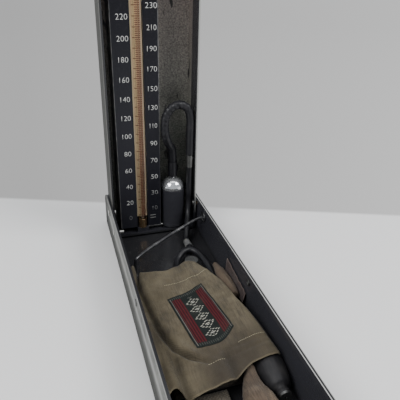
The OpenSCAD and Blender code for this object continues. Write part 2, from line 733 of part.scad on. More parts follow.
module valve_thumbscrew() color(nickel) in_case() difference() {
    union() {
        post(valve_x, valve_y, valve_top + screw_gap, valve_top + screw_gap + thumb_h, thumb_r);
        post(valve_x, valve_y, valve_top - needle_l, valve_top + screw_gap + over, needle_r);
    }
    for (k = [0 : knurls - 1]) rotate_about(valve_x, valve_y, 360 * k / knurls)
        post(valve_x + thumb_r, valve_y, valve_top, valve_top + 2 * thumb_h, knurl_r);
}

module rotate_about(x, y, angle) {
    translate([x, y, 0]) rotate([0, 0, angle]) translate([-x, -y, 0]) children();
}

module valve_tube() color(rubber_black) in_case()
    swept(valve_tube_route, same(hose_r * 0.9, valve_tube_route), [0, 0, 1], [0, -1, 0],
        [0, -1, 0], 2, 8);

module cuff_tube() color(rubber_black) in_case()
    swept(cuff_tube_route, same(hose_r, cuff_tube_route), [0, 0, 1], [0, -1, 0], [0, -1, 0],
        2, 8);

module hose_coupler() color([0.35, 0.35, 0.34]) in_case()
    translate([coupler_x, coupler_y, coupler_z]) rotate([90, 0, 0]) {
        cylinder(r = hose_r + 0.3, h = coupler_l);
        translate([0, 0, coupler_l - 5]) cylinder(r1 = hose_r + 0.3, r2 = coupler_flare_r, h = 3);
        translate([0, 0, coupler_l - 2]) cylinder(r = coupler_flare_r, h = 2);
    }

module air_hose() color(rubber_black)
    swept(air_route, same(hose_r, air_route), [1, 0, 0], [0, 0, -1], [0, -1, 0], 3, 10);

// ---------- lid ----------

// A block with rounded corners, seen from the front, between two distances from the front
module lid_block(half_width, z0, z1, r, y0, y1) {
    translate([0, y1, (z0 + z1) / 2]) rotate([90, 0, 0]) linear_extrude(y1 - y0)
        round_rect(2 * half_width, z1 - z0, r);
}

module lid_shell() color(grey_paint) difference() {
    union() {
        difference() {
            lid_block(lid_half_w, lid_lift, lid_top_z, lid_corner_r, lid_rim_y, lid_back_y);
            lid_block(lid_in_x, lid_floor_z, lid_top_z - lid_wall, lid_corner_r - lid_wall,
                lid_hem_y, lid_in_y);
            lid_block(lid_hem_x, lid_lift + lid_hem_w, lid_top_z - lid_hem_w,
                lid_corner_r - lid_wall, lid_rim_y - over, lid_hem_y + over);
        }
        for (s = [-1, 1])
            rod_x(s * lid_hem_x, s * (lid_half_w - lid_wall / 2), hinge_y, hinge_z, hinge_boss_r);
    }
    for (s = [-1, 1])
        rod_x(s * (lid_hem_x - over), s * (lid_half_w + over), hinge_y, hinge_z,
            pin_r + pin_play);
    for (x = screw_xs, z = screw_zs)
        rod_y(lid_in_y - over, lid_back_y + over, x, z, screw_r + fit);
    block([-stem_half - slide_fit, lid_in_y - over, thumbpiece_z],
        [stem_half + slide_fit, lid_back_y + over, thumbpiece_z + 2 * stem_half + catch_travel]);
    block([-catch_w / 2 - slide_fit, tongue_y0 - slide_fit, arm_low_z],
        [catch_w / 2 + slide_fit, tongue_y1 + slide_fit, lid_top_z + over]);
}

// The panel is one folded sheet: two faces, a groove between them, side flanges and rear lips
module scale_panel() color(black_enamel) difference() {
    translate([0, 0, panel_z]) linear_extrude(panel_top_z - panel_z) {
        sheet([panel_x0, panel_y], [groove_x0, panel_y + panel_t]);
        sheet([groove_x1, panel_y], [panel_x1, panel_y + panel_t]);
        sheet([groove_x0 - panel_t, panel_y], [groove_x0, groove_y + panel_t]);
        sheet([groove_x1, panel_y], [groove_x1 + panel_t, groove_y + panel_t]);
        sheet([groove_x0 - panel_t, groove_y], [groove_x1 + panel_t, groove_y + panel_t]);
        sheet([panel_x0, panel_y], [panel_x0 + panel_t, lid_in_y - fit]);
        sheet([panel_x1 - panel_t, panel_y], [panel_x1, lid_in_y - fit]);
        sheet([panel_x0, lid_in_y - fit - panel_t], [panel_x0 + lip_w, lid_in_y - fit]);
        sheet([panel_x1 - lip_w, lid_in_y - fit - panel_t], [panel_x1, lid_in_y - fit]);
    }
    for (x = screw_xs, z = screw_zs)
        rod_y(lid_in_y - lip_w, lid_back_y, x, z, screw_r + fit);
}

module sheet(low, high) {
    translate(low) square(high - low);
}

module panel_screws() color(nickel) for (x = screw_xs, z = screw_zs) {
    rod_y(lid_in_y - panel_t - nut_h - 1, lid_back_y + head_t, x, z, screw_r);
    rod_y(lid_back_y + fit, lid_back_y + fit + head_t, x, z, screw_head_r);
}

module panel_nuts() color(nickel) for (x = screw_xs, z = screw_zs) difference() {
    translate([x, lid_in_y - fit - panel_t - fit, z]) rotate([90, 0, 0])
        cylinder(r = nut_r, h = nut_h, $fn = 6);
    rod_y(lid_in_y - lip_w, lid_back_y, x, z, screw_r + fit);
}

module scale_strip() color(ivory)
    block([tube_x - strip_w / 2, groove_y - fit - strip_t, gland_top_z + strip_gap],
        [tube_x + strip_w / 2, groove_y - fit, cap_z - strip_gap]);

module glass_tube() color([0.85, 0.90, 0.90, 0.4]) difference() {
    post(tube_x, tube_y, tube_z, tube_top_z, glass_r);
    post(tube_x, tube_y, tube_z - over, tube_top_z + over, glass_bore_r);
}

module tube_mercury() color(mercury)
    post(tube_x, tube_y, tube_z + fit, zero_z, glass_bore_r - fit);

module tube_gland() color(brass) difference() {
    post(tube_x, tube_y, block_top_z + fit, gland_top_z, gland_r);
    post(tube_x, tube_y, block_top_z, gland_top_z + over, glass_r + fit);
}

module gland_seal() color(rubber_black) difference() {
    post(tube_x, tube_y, seal_z, seal_z + seal_h, glass_r);
    post(tube_x, tube_y, seal_z - over, seal_z + seal_h + over, glass_bore_r);
}

module gland_block() color(black_enamel) difference() {
    block([tube_x - block_half, lid_hem_y + 0.2, lid_floor_z + fit],
        [tube_x + block_half, pipe_y + 2 * pipe_r + 2, block_top_z]);
    post(tube_x, tube_y, pipe_z, block_top_z + over, pipe_r);
    rod_x(tube_x, tube_x + block_half + over, pipe_y, pipe_z, pipe_r + fit);
}

module transfer_pipe() color(nickel) difference() {
    rod_x(tube_x + pipe_r + 1, pipe_end_x, pipe_y, pipe_z, pipe_r);
    rod_x(tube_x, pipe_end_x + over, pipe_y, pipe_z, pipe_r / 2);
}

module tube_cap() color(nickel) difference() {
    post(tube_x, tube_y, cap_z, cap_z + cap_h, gland_r);
    post(tube_x, tube_y, cap_z - over, cap_z + cap_h - 2, glass_r + fit);
    post(tube_x, tube_y, cap_z, cap_z + cap_h + over, vent_r);
}

module vent_disc() color(ivory)
    post(tube_x, tube_y, tube_top_z + fit, cap_z + cap_h - 2 - fit, glass_r);

// ---------- reservoir ----------

module reservoir_foot() color(black_enamel) difference() {
    union() {
        post(tank_x, tank_y, lid_floor_z + fit, tank_z - fit, foot_stem_r);
        post(tank_x, tank_y, tank_z - foot_ring_h, tank_z - fit, foot_ring_r);
    }
    rod_x(tank_x - 2 * tank_r, pipe_end_x + fit, pipe_y, pipe_z, pipe_r + fit);
}

module reservoir_body() color(black_enamel) difference() {
    post(tank_x, tank_y, tank_z, tank_z + tank_h, tank_r);
    post(tank_x, tank_y, tank_z + tank_wall, tank_z + tank_h + over, tank_r - tank_wall);
}

module reservoir_mercury() color(mercury)
    post(tank_x, tank_y, tank_z + tank_wall + fit, tank_z + tank_wall + tank_fill,
        tank_r - tank_wall - fit);

module dome_gasket() color(rubber_black) difference() {
    post(tank_x, tank_y, tank_z + tank_h + fit, dome_z - fit, dome_r);
    post(tank_x, tank_y, tank_z + tank_h - over, dome_z + over, tank_r - tank_wall);
}

// Half outline of the dome with its nipple, at a distance inside its skin
function dome_outline(inset) = concat(
    [[0, 0], [dome_r - inset, 0]],
    [for (a = [0 : 7.5 : 75]) [(dome_r - inset) * cos(a),
        dome_skirt + (dome_h - dome_skirt - inset) * sin(a)]],
    [[nipple_r - inset, dome_h - inset], [nipple_r - inset, dome_h + nipple_h],
        [0, dome_h + nipple_h]]);

module reservoir_dome() color([0.8, 0.8, 0.8]) translate([tank_x, tank_y, dome_z])
    difference() {
        rotate_extrude() polygon(dome_outline(0));
        rotate_extrude() polygon(dome_outline(dome_wall));
    }

module hose_sleeve() color(rubber_black) difference() {
    post(tank_x, tank_y, sleeve_z, loop_z, sleeve_r);
    post(tank_x, tank_y, sleeve_z - over, nipple_z + nipple_h + soft_gap, nipple_r + fit);
}

// ---------- hoses in the lid ----------

module loop_hose() color(rubber_black)
    swept(loop_route, same(loop_r, loop_route), [0, 1, 0], [0, 0, 1], [0, 0, -1], 3, 10);

module slip_socket() color(nickel) difference() {
    union() {
        post(slip_x, slip_y, slip_mid_z + fit, slip_top_z, slip_r);
        post(slip_x, slip_y, slip_top_z - slip_neck - slip_flange_h, slip_top_z - slip_neck,
            slip_flange_r);
    }
    post(slip_x, slip_y, slip_mid_z - over, slip_mid_z + spigot_h + 0.5, spigot_r + fit);
}

module slip_plug() color(nickel) {
    post(slip_x, slip_y, slip_low_z, slip_mid_z, slip_r - 0.3);
    post(slip_x, slip_y, slip_mid_z - 1.5, slip_mid_z, slip_r);
    post(slip_x, slip_y, slip_mid_z - 1, slip_mid_z + spigot_h, spigot_r);
}

// ---------- sliding catch ----------

// A saddle on the lid's upper end that the catch's arm slides in
module catch_guide() color(nickel) difference() {
    block([-catch_w / 2 - slide_fit - guide_wall, guide_y0, arm_low_z - slide_fit - guide_wall],
        [catch_w / 2 + slide_fit + guide_wall, guide_y0 + guide_l, lid_top_z - lid_wall - fit]);
    block([-catch_w / 2 - slide_fit, guide_y0 - over, arm_low_z - slide_fit],
        [catch_w / 2 + slide_fit, guide_y0 + guide_l + over, lid_top_z]);
}

// The thumb piece on the lid's back, its stem, the plate and arm inside, and the tongue that
// goes under the case's front hem when the lid is shut
module catch_slide() color(nickel) {
    block([-thumbpiece_w / 2, lid_back_y + slide_fit, thumbpiece_z - 1],
        [thumbpiece_w / 2, lid_back_y + thumbpiece_t, thumbpiece_z - 1 + thumbpiece_h]);
    block([-stem_half, plate_y1 - arm_t, thumbpiece_z + slide_fit],
        [stem_half, lid_back_y + thumbpiece_t, thumbpiece_z + 2 * stem_half - slide_fit]);
    block([-catch_w / 2, plate_y1 - arm_t, arm_top_z - plate_drop],
        [catch_w / 2, plate_y1, arm_top_z]);
    block([-catch_w / 2, tongue_y0, arm_low_z], [catch_w / 2, plate_y1, arm_top_z]);
    block([-catch_w / 2, tongue_y0, arm_low_z], [catch_w / 2, tongue_y1, tongue_top_z]);
}

case_tray();
rubber_feet();
lid_stop_pads();
hinge_pins();
hinge_washers();
bail_stud();
bail_plate();
bail_wire();
wall_rivets();
cuff_under();
bladder();
cuff_top();
cuff_label();
cuff_roll_left();
cuff_roll_right();
cuff_fold();
cuff_tail();
cuff_strap();
bulb();
bulb_inlet_valve();
bulb_outlet();
bulb_tube();
valve_body();
valve_thumbscrew();
valve_tube();
cuff_tube();
hose_coupler();
air_hose();
lid_shell();
scale_panel();
panel_screws();
panel_nuts();
scale_strip();
glass_tube();
tube_mercury();
tube_gland();
gland_seal();
gland_block();
transfer_pipe();
tube_cap();
vent_disc();
reservoir_foot();
reservoir_body();
reservoir_mercury();
dome_gasket();
reservoir_dome();
hose_sleeve();
loop_hose();
slip_socket();
slip_plug();
catch_guide();
catch_slide();
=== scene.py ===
"""Looks of a desk mercury sphygmomanometer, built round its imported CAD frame."""

import logging
import math
from dataclasses import dataclass
from enum import Enum
from typing import Callable, Iterable, Sequence

import bpy
from mathutils import Matrix, Vector, noise


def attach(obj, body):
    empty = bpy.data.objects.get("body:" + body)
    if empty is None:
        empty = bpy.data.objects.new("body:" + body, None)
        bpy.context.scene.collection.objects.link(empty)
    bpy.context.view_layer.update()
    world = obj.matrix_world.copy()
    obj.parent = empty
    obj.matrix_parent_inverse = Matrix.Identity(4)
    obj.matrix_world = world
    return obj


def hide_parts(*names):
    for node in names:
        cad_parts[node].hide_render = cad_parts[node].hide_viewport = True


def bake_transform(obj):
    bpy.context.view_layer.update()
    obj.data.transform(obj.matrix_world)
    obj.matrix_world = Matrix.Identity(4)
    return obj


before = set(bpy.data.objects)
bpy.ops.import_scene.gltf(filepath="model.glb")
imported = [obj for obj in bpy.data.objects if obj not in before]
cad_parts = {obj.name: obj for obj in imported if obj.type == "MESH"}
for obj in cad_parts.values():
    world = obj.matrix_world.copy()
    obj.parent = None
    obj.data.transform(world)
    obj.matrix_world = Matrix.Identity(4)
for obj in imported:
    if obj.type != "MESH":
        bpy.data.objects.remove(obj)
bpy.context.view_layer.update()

LOG = logging.getLogger("sphygmomanometer")
MM = 0.001
Point = tuple[float, float, float]
Colour = tuple[float, float, float]
FRONT, BACK = Vector((0, -1, 0)), Vector((0, 1, 0))
UP, DOWN = Vector((0, 0, 1)), Vector((0, 0, -1))
RIGHT, LEFT = Vector((1, 0, 0)), Vector((-1, 0, 0))


class Body(str, Enum):
    """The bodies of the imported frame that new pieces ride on."""

    CASE = "case"
    LID = "lid"


class Slot(str, Enum):
    """Names of the record's material slots."""

    RUBBER = "black_rubber"
    BULB = "bulb_rubber"
    NICKEL = "nickel_plate"
    BLACK = "black_enamel"
    COTTON = "cotton"
    BROWN = "brown_cloth"
    WEBBING = "webbing"
    LABEL = "label_cloth"
    STRIP = "ivory_card"


# ---------------------------------------------------------------- node building


class Graph:
    """Short calls for building one node tree."""

    def __init__(self, tree: bpy.types.NodeTree) -> None:
        """Keeps the tree.

        Args:
            tree: The node tree that every call adds to.
        """
        self.tree = tree

    def node(self, kind: str, inputs: dict | None = None, **settings: object) -> bpy.types.Node:
        """Adds a node.

        Args:
            kind: The node's Blender type.
            inputs: Socket names or numbers, each with a value or a socket to link.
            settings: Attributes of the node itself.

        Returns:
            The new node.
        """
        made = self.tree.nodes.new(kind)
        for key, value in settings.items():
            setattr(made, key, value)
        for key, value in (inputs or {}).items():
            self.feed(made.inputs[key], value)
        return made

    def feed(self, socket: bpy.types.NodeSocket, value: object) -> None:
        """Links a socket into an input, or sets the input's value."""
        if isinstance(value, bpy.types.NodeSocket):
            self.tree.links.new(value, socket)
        elif socket.type == "RGBA" and len(value) == 3:
            socket.default_value = (*value, 1.0)
        else:
            socket.default_value = value

    def math(self, operation: str, *values: object) -> bpy.types.NodeSocket:
        """Adds a Math node and returns its result."""
        made = self.tree.nodes.new("ShaderNodeMath")
        made.operation = operation
        for i, value in enumerate(values):
            self.feed(made.inputs[i], value)
        return made.outputs[0]

    def times(self, a: object, b: object) -> bpy.types.NodeSocket:
        """Returns the product of two values."""
        return self.math("MULTIPLY", a, b)

    def minus(self, a: object, b: object) -> bpy.types.NodeSocket:
        """Returns the first value less the second."""
        return self.math("SUBTRACT", a, b)

    def parts(self, vector: object) -> bpy.types.bpy_prop_collection:
        """Returns the three parts of a vector."""
        return self.node("ShaderNodeSeparateXYZ", {0: vector}).outputs

    def place(self) -> bpy.types.NodeSocket:
        """Returns the Object coordinates."""
        return self.node("ShaderNodeTexCoord").outputs["Object"]

    def scaled(self, vector: object, scale: object) -> bpy.types.NodeSocket:
        """Returns a vector or colour times a value."""
        return self.node("ShaderNodeVectorMath", {0: vector, "Scale": scale},
                         operation="SCALE").outputs[0]

    def fill(self, shader: bpy.types.Node, values: dict[str, object]) -> None:
        """Links or sets several inputs of a shader."""
        for key, value in values.items():
            self.feed(shader.inputs[key], value)

    def ramp(self, value: object, low: float, high: float,
             out_low: float = 0.0, out_high: float = 1.0) -> bpy.types.NodeSocket:
        """Maps a value from low..high to out_low..out_high, clamped."""
        return self.node("ShaderNodeMapRange", {
            "Value": value, "From Min": low, "From Max": high,
            "To Min": out_low, "To Max": out_high}).outputs[0]

    def blend(self, share: object, a: object, b: object) -> bpy.types.NodeSocket:
        """Mixes two colours and returns the colour."""
        made = self.tree.nodes.new("ShaderNodeMix")
        made.data_type = "RGBA"
        self.feed(made.inputs[0], share)
        self.feed(made.inputs[6], a)
        self.feed(made.inputs[7], b)
        return made.outputs[2]

    def band(self, value: object, centre: float, half: float, soft: float) -> bpy.types.NodeSocket:
        """Returns 1 within half of centre and 0 beyond it, with a soft edge."""
        off = self.math("ABSOLUTE", self.minus(value, centre))
        return self.ramp(off, half + soft, half)

    def noise(self, vector: object, scale: float, detail: float = 3.0,
              rough: float = 0.55) -> bpy.types.NodeSocket:
        """Adds a noise texture and returns its value."""
        return self.node("ShaderNodeTexNoise", {
            "Vector": vector, "Scale": scale, "Detail": detail, "Roughness": rough}).outputs[0]


def make_group(name: str, inputs: Sequence[tuple[str, str, object]],
               outputs: Sequence[tuple[str, str]]) -> tuple[bpy.types.NodeTree, Graph,
                                                            bpy.types.Node, bpy.types.Node]:
    """Makes an empty shader node group with named sockets.

    Args:
        name: The group's name.
        inputs: Name, kind and default of each input.
        outputs: Name and kind of each output.

    Returns:
        The group, its graph, its input node and its output node.
    """
    tree = bpy.data.node_groups.new(name, "ShaderNodeTree")
    for label, kind, default in inputs:
        socket = tree.interface.new_socket(name=label, in_out="INPUT",
                                           socket_type=f"NodeSocket{kind}")
        if default is not None:
            socket.default_value = default
    for label, kind in outputs:
        tree.interface.new_socket(name=label, in_out="OUTPUT", socket_type=f"NodeSocket{kind}")
    graph = Graph(tree)
    return tree, graph, tree.nodes.new("NodeGroupInput"), tree.nodes.new("NodeGroupOutput")


def tint(colour: Colour, factor: float) -> Colour:
    """Returns a colour times a factor, no part of it over 1."""
    return tuple(min(1.0, part * factor) for part in colour)


class Effects:
    """The node groups that more than one finish uses."""

    def __init__(self) -> None:
        """Builds each group once."""
        self.wear = self._wear()
        self.weave = self._weave()
        self.grain = self._grain()

    @staticmethod
    def _wear() -> bpy.types.NodeTree:
        """Patches and long scratches, as one mask."""
        tree, g, into, out = make_group("worn_patches", [
            ("Vector", "Vector", None), ("Scale", "Float", 60.0), ("Stretch", "Float", 0.1),
            ("Low", "Float", 0.5), ("High", "Float", 0.7)], [("Mask", "Float")])
        patches = g.node("ShaderNodeTexNoise", {
            "Vector": into.outputs["Vector"], "Scale": into.outputs["Scale"],
            "Detail": 6.0, "Roughness": 0.62})
        drawn = g.node("ShaderNodeCombineXYZ", {
            0: 1.0, 1: into.outputs["Stretch"], 2: into.outputs["Stretch"]})
        long_way = g.node("ShaderNodeVectorMath", {0: into.outputs["Vector"],
                                                   1: drawn.outputs[0]}, operation="MULTIPLY")
        streaks = g.node("ShaderNodeTexNoise", {
            "Vector": long_way.outputs[0], "Scale": 900.0, "Detail": 3.0, "Roughness": 0.6})
        both = g.math("ADD", g.times(patches.outputs[0], 0.62), g.times(streaks.outputs[0], 0.38))
        mask = g.node("ShaderNodeMapRange", {
            "Value": both, "From Min": into.outputs["Low"], "From Max": into.outputs["High"]})
        g.feed(out.inputs["Mask"], mask.outputs[0])
        return tree

    @staticmethod
    def _weave() -> bpy.types.NodeTree:
        """A plain weave on a piece's UV map, which is in metres."""
        tree, g, into, out = make_group("plain_weave", [
            ("Vector", "Vector", None), ("Threads", "Float", 1500.0)],
            [("Height", "Float"), ("Blotches", "Float")])
        parts = g.parts(into.outputs["Vector"])
        turn = g.times(into.outputs["Threads"], math.tau / 2)
        across = g.math("SINE", g.times(parts[0], turn))
        along = g.math("SINE", g.times(parts[1], turn))
        woven = g.times(across, along)
        fuzz = g.noise(into.outputs["Vector"], 2600.0, 2.0)
        g.feed(out.inputs["Height"], g.math("ADD", g.times(woven, 0.5), fuzz))
        g.feed(out.inputs["Blotches"], g.noise(into.outputs["Vector"], 42.0, 5.0, 0.6))
        return tree

    @staticmethod
    def _grain() -> bpy.types.NodeTree:
        """Fine surface grain: a height and a mask of darker spots."""
        tree, g, into, out = make_group("fine_grain", [
            ("Vector", "Vector", None), ("Scale", "Float", 900.0), ("Spots", "Float", 120.0)],
            [("Height", "Float"), ("Spots", "Float")])
        fine = g.node("ShaderNodeTexNoise", {
            "Vector": into.outputs["Vector"], "Scale": into.outputs["Scale"],
            "Detail": 4.0, "Roughness": 0.6})
        spots = g.node("ShaderNodeTexNoise", {
            "Vector": into.outputs["Vector"], "Scale": into.outputs["Spots"],
            "Detail": 5.0, "Roughness": 0.7})
        g.feed(out.inputs["Height"], fine.outputs[0])
        g.feed(out.inputs["Spots"], g.ramp(spots.outputs[0], 0.52, 0.72))
        return tree


@dataclass(frozen=True)
class Finish:
    """A plain finish: its colours, gloss and grain."""

    name: str
    colour: Colour
    worn: Colour
    rough: float
    metal: float = 0.0
    coat: float = 0.0
    wear_low: float = 0.52
    wear_high: float = 0.66
    wear_scale: float = 70.0
    grain: float = 900.0
    bump: float = 0.00003
    shine: float = 0.5


@dataclass(frozen=True)
class Cloth:
    """A cloth finish on a piece's UV map in metres."""

    name: str
    colour: Colour
    faded: Colour
    # Dark colour of dirty places, also used for painted shade in folds and toward the front.
    soiled: Colour
    threads: float = 1500.0
    bump: float = 0.00022
    rough: float = 0.92
    # How strongly the middle of the sheet is painted darker toward its front, as painted shade.
    front_soil: float = 0.0


class Finishes:
    """Every material of the object, each made when first asked for."""

    def __init__(self) -> None:
        """Builds the shared effects and an empty shelf."""
        self.effects = Effects()
        self.shelf: dict[str, bpy.types.Material] = {}

    def start(self, name: str) -> tuple[bpy.types.Material, Graph, bpy.types.Node]:
        """Starts a material and returns it, its graph and its shader."""
        material = bpy.data.materials.new(name)
        material.use_nodes = True
        graph = Graph(material.node_tree)
        shader = material.node_tree.nodes["Principled BSDF"]
        self.shelf[name] = material
        return material, graph, shader

    def use(self, g: Graph, group: bpy.types.NodeTree, **inputs: object) -> bpy.types.Node:
        """Places a shared group in a material."""
        made = g.node("ShaderNodeGroup", node_tree=group)
        for key, value in inputs.items():
            g.feed(made.inputs[key], value)
        return made

    def wear(self, g: Graph, place: object, **values: float) -> bpy.types.NodeSocket:
        """Returns the shared mask of worn patches."""
        return self.use(g, self.effects.wear, Vector=place, **values).outputs[0]

    def weave(self, g: Graph, uv: object, threads: float) -> bpy.types.bpy_prop_collection:
        """Returns the shared weave's height and its blotches."""
        return self.use(g, self.effects.weave, Vector=uv, Threads=threads).outputs

    def grain(self, g: Graph, place: object, **values: float) -> bpy.types.bpy_prop_collection:
        """Returns the shared grain's height and its mask of spots."""
        return self.use(g, self.effects.grain, Vector=place, **values).outputs

    def bumped(self, g: Graph, shader: bpy.types.Node, height: object, depth: float) -> None:
        """Feeds a height through a Bump node into the shader's Normal."""
        bump = g.node("ShaderNodeBump", {"Height": height, "Distance": depth, "Strength": 1.0})
        g.feed(shader.inputs["Normal"], bump.outputs[0])

    def plain(self, f: Finish) -> bpy.types.Material:
        """Makes or returns a plain finish with worn patches and grain."""
        if f.name in self.shelf:
            return self.shelf[f.name]
        material, g, shader = self.start(f.name)
        place = g.place()
        wear = self.wear(g, place, Scale=f.wear_scale, Low=f.wear_low, High=f.wear_high)
        grain = self.grain(g, place, Scale=f.grain)
        colour = g.blend(wear, f.colour, f.worn)
        colour = g.blend(g.times(grain[1], 0.35), colour, tint(f.colour, 0.4))
        rough = g.ramp(wear, 0.0, 1.0, f.rough, min(1.0, f.rough + 0.25))
        g.fill(shader, {"Base Color": colour, "Roughness": rough, "Metallic": f.metal,
                        "Specular IOR Level": f.shine, "Coat Weight": f.coat,
                        "Coat Roughness": 0.12})
        self.bumped(g, shader, grain[0], f.bump)
        return material

    def cloth(self, c: Cloth) -> bpy.types.Material:
        """Makes or returns a woven cloth with faded and dirty places, a pale edge, painted shade in
        its folds and, where asked, painted shade toward its front.
        """
        if c.name in self.shelf:
            return self.shelf[c.name]
        material, g, shader = self.start(c.name)
        uv = g.node("ShaderNodeUVMap", uv_map="flat").outputs[0]
        place = g.place()
        weave = self.weave(g, uv, c.threads)
        faded = g.ramp(weave[1], 0.40, 0.62)
        dirt = self.wear(g, place, Scale=34.0, Low=0.46, High=0.62)
        colour = g.blend(faded, c.colour, c.faded)
        colour = g.blend(g.times(dirt, 0.75), colour, c.soiled)
        # Painted shade: the middle of the sheet darkens toward its front, which slopes away from
        # the light.
        if c.front_soil:
            at = g.parts(place)
            middle = g.times(g.ramp(at[0], 42 * MM, 24 * MM, 0.5, 1.0),
                             g.ramp(at[0], -26 * MM, -6 * MM, 0.0, 1.0))
            front = g.times(middle, g.ramp(at[1], -42 * MM, -92 * MM, 0.0, c.front_soil))
            colour = g.blend(front, colour, c.soiled)
        edge = g.node("ShaderNodeAttribute", attribute_name="edge").outputs["Fac"]
        colour = g.blend(g.times(edge, 0.8), colour, tint(c.faded, 1.9))
        # Painted shade: the marked folds are darkened with a deep tint of the dark colour.
        fold = g.node("ShaderNodeAttribute", attribute_name="fold").outputs["Fac"]
        colour = g.blend(g.times(fold, 0.75), colour, tint(c.soiled, 0.28))
        threads = g.ramp(weave[0], 0.2, 1.0, 0.82, 1.12)
        g.fill(shader, {"Base Color": g.scaled(colour, threads), "Roughness": c.rough,
                        "Specular IOR Level": 0.25, "Sheen Weight": 0.08})
        self.bumped(g, shader, weave[0], c.bump)
        return material


# ---------------------------------------------------------------- finishes of this object

BLACK_ENAMEL = Finish("black_enamel_worn", (0.024, 0.024, 0.029), (0.07, 0.07, 0.07), 0.22,
                      coat=0.4, wear_low=0.60, wear_high=0.76)
RESERVOIR_BLACK = Finish("reservoir_black", (0.030, 0.030, 0.036), (0.05, 0.05, 0.055), 0.36,
                         wear_low=0.56, wear_high=0.8, bump=0.00001)
HOSE_RUBBER = Finish("hose_rubber_aged", (0.009, 0.009, 0.011), (0.028, 0.026, 0.03), 0.42,
                     coat=0.04, shine=0.3, wear_low=0.5, wear_high=0.75, grain=1400.0, bump=0.00006)
BULB_RUBBER = Finish("bulb_rubber_aged", (0.011, 0.0105, 0.012), (0.035, 0.032, 0.031), 0.55,
                     shine=0.35, wear_low=0.46, wear_high=0.7, grain=700.0, bump=0.00008)
FOOT_RUBBER = Finish("foot_rubber", (0.03, 0.03, 0.03), (0.07, 0.07, 0.07), 0.75)
NICKEL = Finish("nickel_plate_old", (0.55, 0.54, 0.51), (0.22, 0.2, 0.17), 0.24, metal=1.0,
                wear_low=0.55, wear_high=0.75, bump=0.00001)
CHROME = Finish("dome_chrome", (0.79, 0.80, 0.81), (0.7, 0.7, 0.7), 0.07, metal=0.84,
                wear_low=0.66, wear_high=0.82, bump=0.0000015)
BRASS = Finish("gland_brass", (0.36, 0.24, 0.13), (0.10, 0.06, 0.04), 0.22, metal=0.9,
               wear_low=0.48, wear_high=0.62)
WALL_METAL = Finish("wall_fittings_dull", (0.17, 0.17, 0.165), (0.08, 0.08, 0.075), 0.42, metal=1.0)
WIRE = Finish("bail_wire_enamel", (0.02, 0.02, 0.022), (0.20, 0.20, 0.20), 0.3, metal=0.0,
              coat=0.5, wear_low=0.5, wear_high=0.7)
COUPLING = Finish("grey_coupling", (0.13, 0.13, 0.13), (0.26, 0.26, 0.25), 0.3, coat=0.3)
RULE_PAINT = Finish("numeral_white", (0.24, 0.24, 0.23), (0.14, 0.14, 0.14), 0.55,
                    wear_low=0.6, wear_high=0.75, bump=0.0)
MERCURY = Finish("mercury_metal", (0.78, 0.78, 0.8), (0.7, 0.7, 0.7), 0.06, metal=1.0, bump=0.0)
VENT = Finish("vent_leather", (0.3, 0.22, 0.12), (0.15, 0.1, 0.06), 0.8)
STITCH = Finish("stitch_thread", (0.42, 0.38, 0.26), (0.25, 0.22, 0.15), 0.85)

# The khaki top sheet takes painted shade toward its front.
KHAKI = Cloth("khaki_cotton", (0.092, 0.075, 0.046), (0.130, 0.108, 0.069), (0.040, 0.032, 0.023),
              front_soil=0.86)
ROLL_CLOTH = Cloth("roll_cotton", (0.10, 0.084, 0.056), (0.14, 0.12, 0.085), (0.05, 0.042, 0.032))
TAIL_CLOTH = Cloth("tail_cotton", (0.100, 0.072, 0.050), (0.152, 0.114, 0.080),
                   (0.038, 0.029, 0.022))
UNDER_CLOTH = Cloth("under_cotton", (0.055, 0.045, 0.033), (0.08, 0.068, 0.05),
                    (0.02, 0.018, 0.015))
FOLD_CLOTH = Cloth("fold_cotton", (0.05, 0.028, 0.025), (0.10, 0.075, 0.065), (0.022, 0.015, 0.015))
WEBBING = Cloth("strap_webbing", (0.12, 0.10, 0.075), (0.17, 0.15, 0.12), (0.05, 0.045, 0.035),
                threads=700.0, bump=0.0004)
BLADDER_RUBBER = Finish("bladder_rubber", (0.03, 0.022, 0.02), (0.06, 0.05, 0.045), 0.6)


# ---------------------------------------------------------------- modelling helpers


def deselect() -> None:
    """Leaves edit mode and clears the selection."""
    if bpy.context.object and bpy.context.object.mode != "OBJECT":
        bpy.ops.object.mode_set(mode="OBJECT")
    bpy.ops.object.select_all(action="DESELECT")


def pick(obj: bpy.types.Object) -> None:
    """Selects one object alone and makes it active."""
    deselect()
    obj.select_set(True)
    bpy.context.view_layer.objects.active = obj


def settle(obj: bpy.types.Object, name: str) -> bpy.types.Object:
    """Names an object and puts its place into its mesh."""
    pick(obj)
    bpy.ops.object.transform_apply(location=True, rotation=True, scale=True)
    obj.name = name
    obj.data.name = name
    return obj


def finish_with(obj: bpy.types.Object, kind: str, **settings: object) -> None:
    """Adds a modifier, sets it and applies it."""
    pick(obj)
    modifier = obj.modifiers.new(kind.lower(), kind)
    for key, value in settings.items():
        setattr(modifier, key, value)
    bpy.ops.object.modifier_apply(modifier=modifier.name)


def smooth(obj: bpy.types.Object, angle: float) -> None:
    """Shades an object smooth, with edges sharper than the angle left sharp."""
    pick(obj)
    bpy.ops.object.shade_smooth_by_angle(angle=math.radians(angle))


def join_all(pieces: Sequence[bpy.types.Object], name: str) -> bpy.types.Object:
    """Joins pieces into one object with a name."""
    deselect()
    for piece in pieces:
        piece.select_set(True)
    bpy.context.view_layer.objects.active = pieces[0]
    bpy.ops.object.join()
    return settle(bpy.context.object, name)


def recalc(obj: bpy.types.Object) -> None:
    """Merges doubles and points the faces outwards."""
    pick(obj)
    bpy.ops.object.mode_set(mode="EDIT")
    bpy.ops.mesh.select_all(action="SELECT")
    bpy.ops.mesh.remove_doubles(threshold=1e-6)
    bpy.ops.mesh.normals_make_consistent(inside=False)
    bpy.ops.object.mode_set(mode="OBJECT")


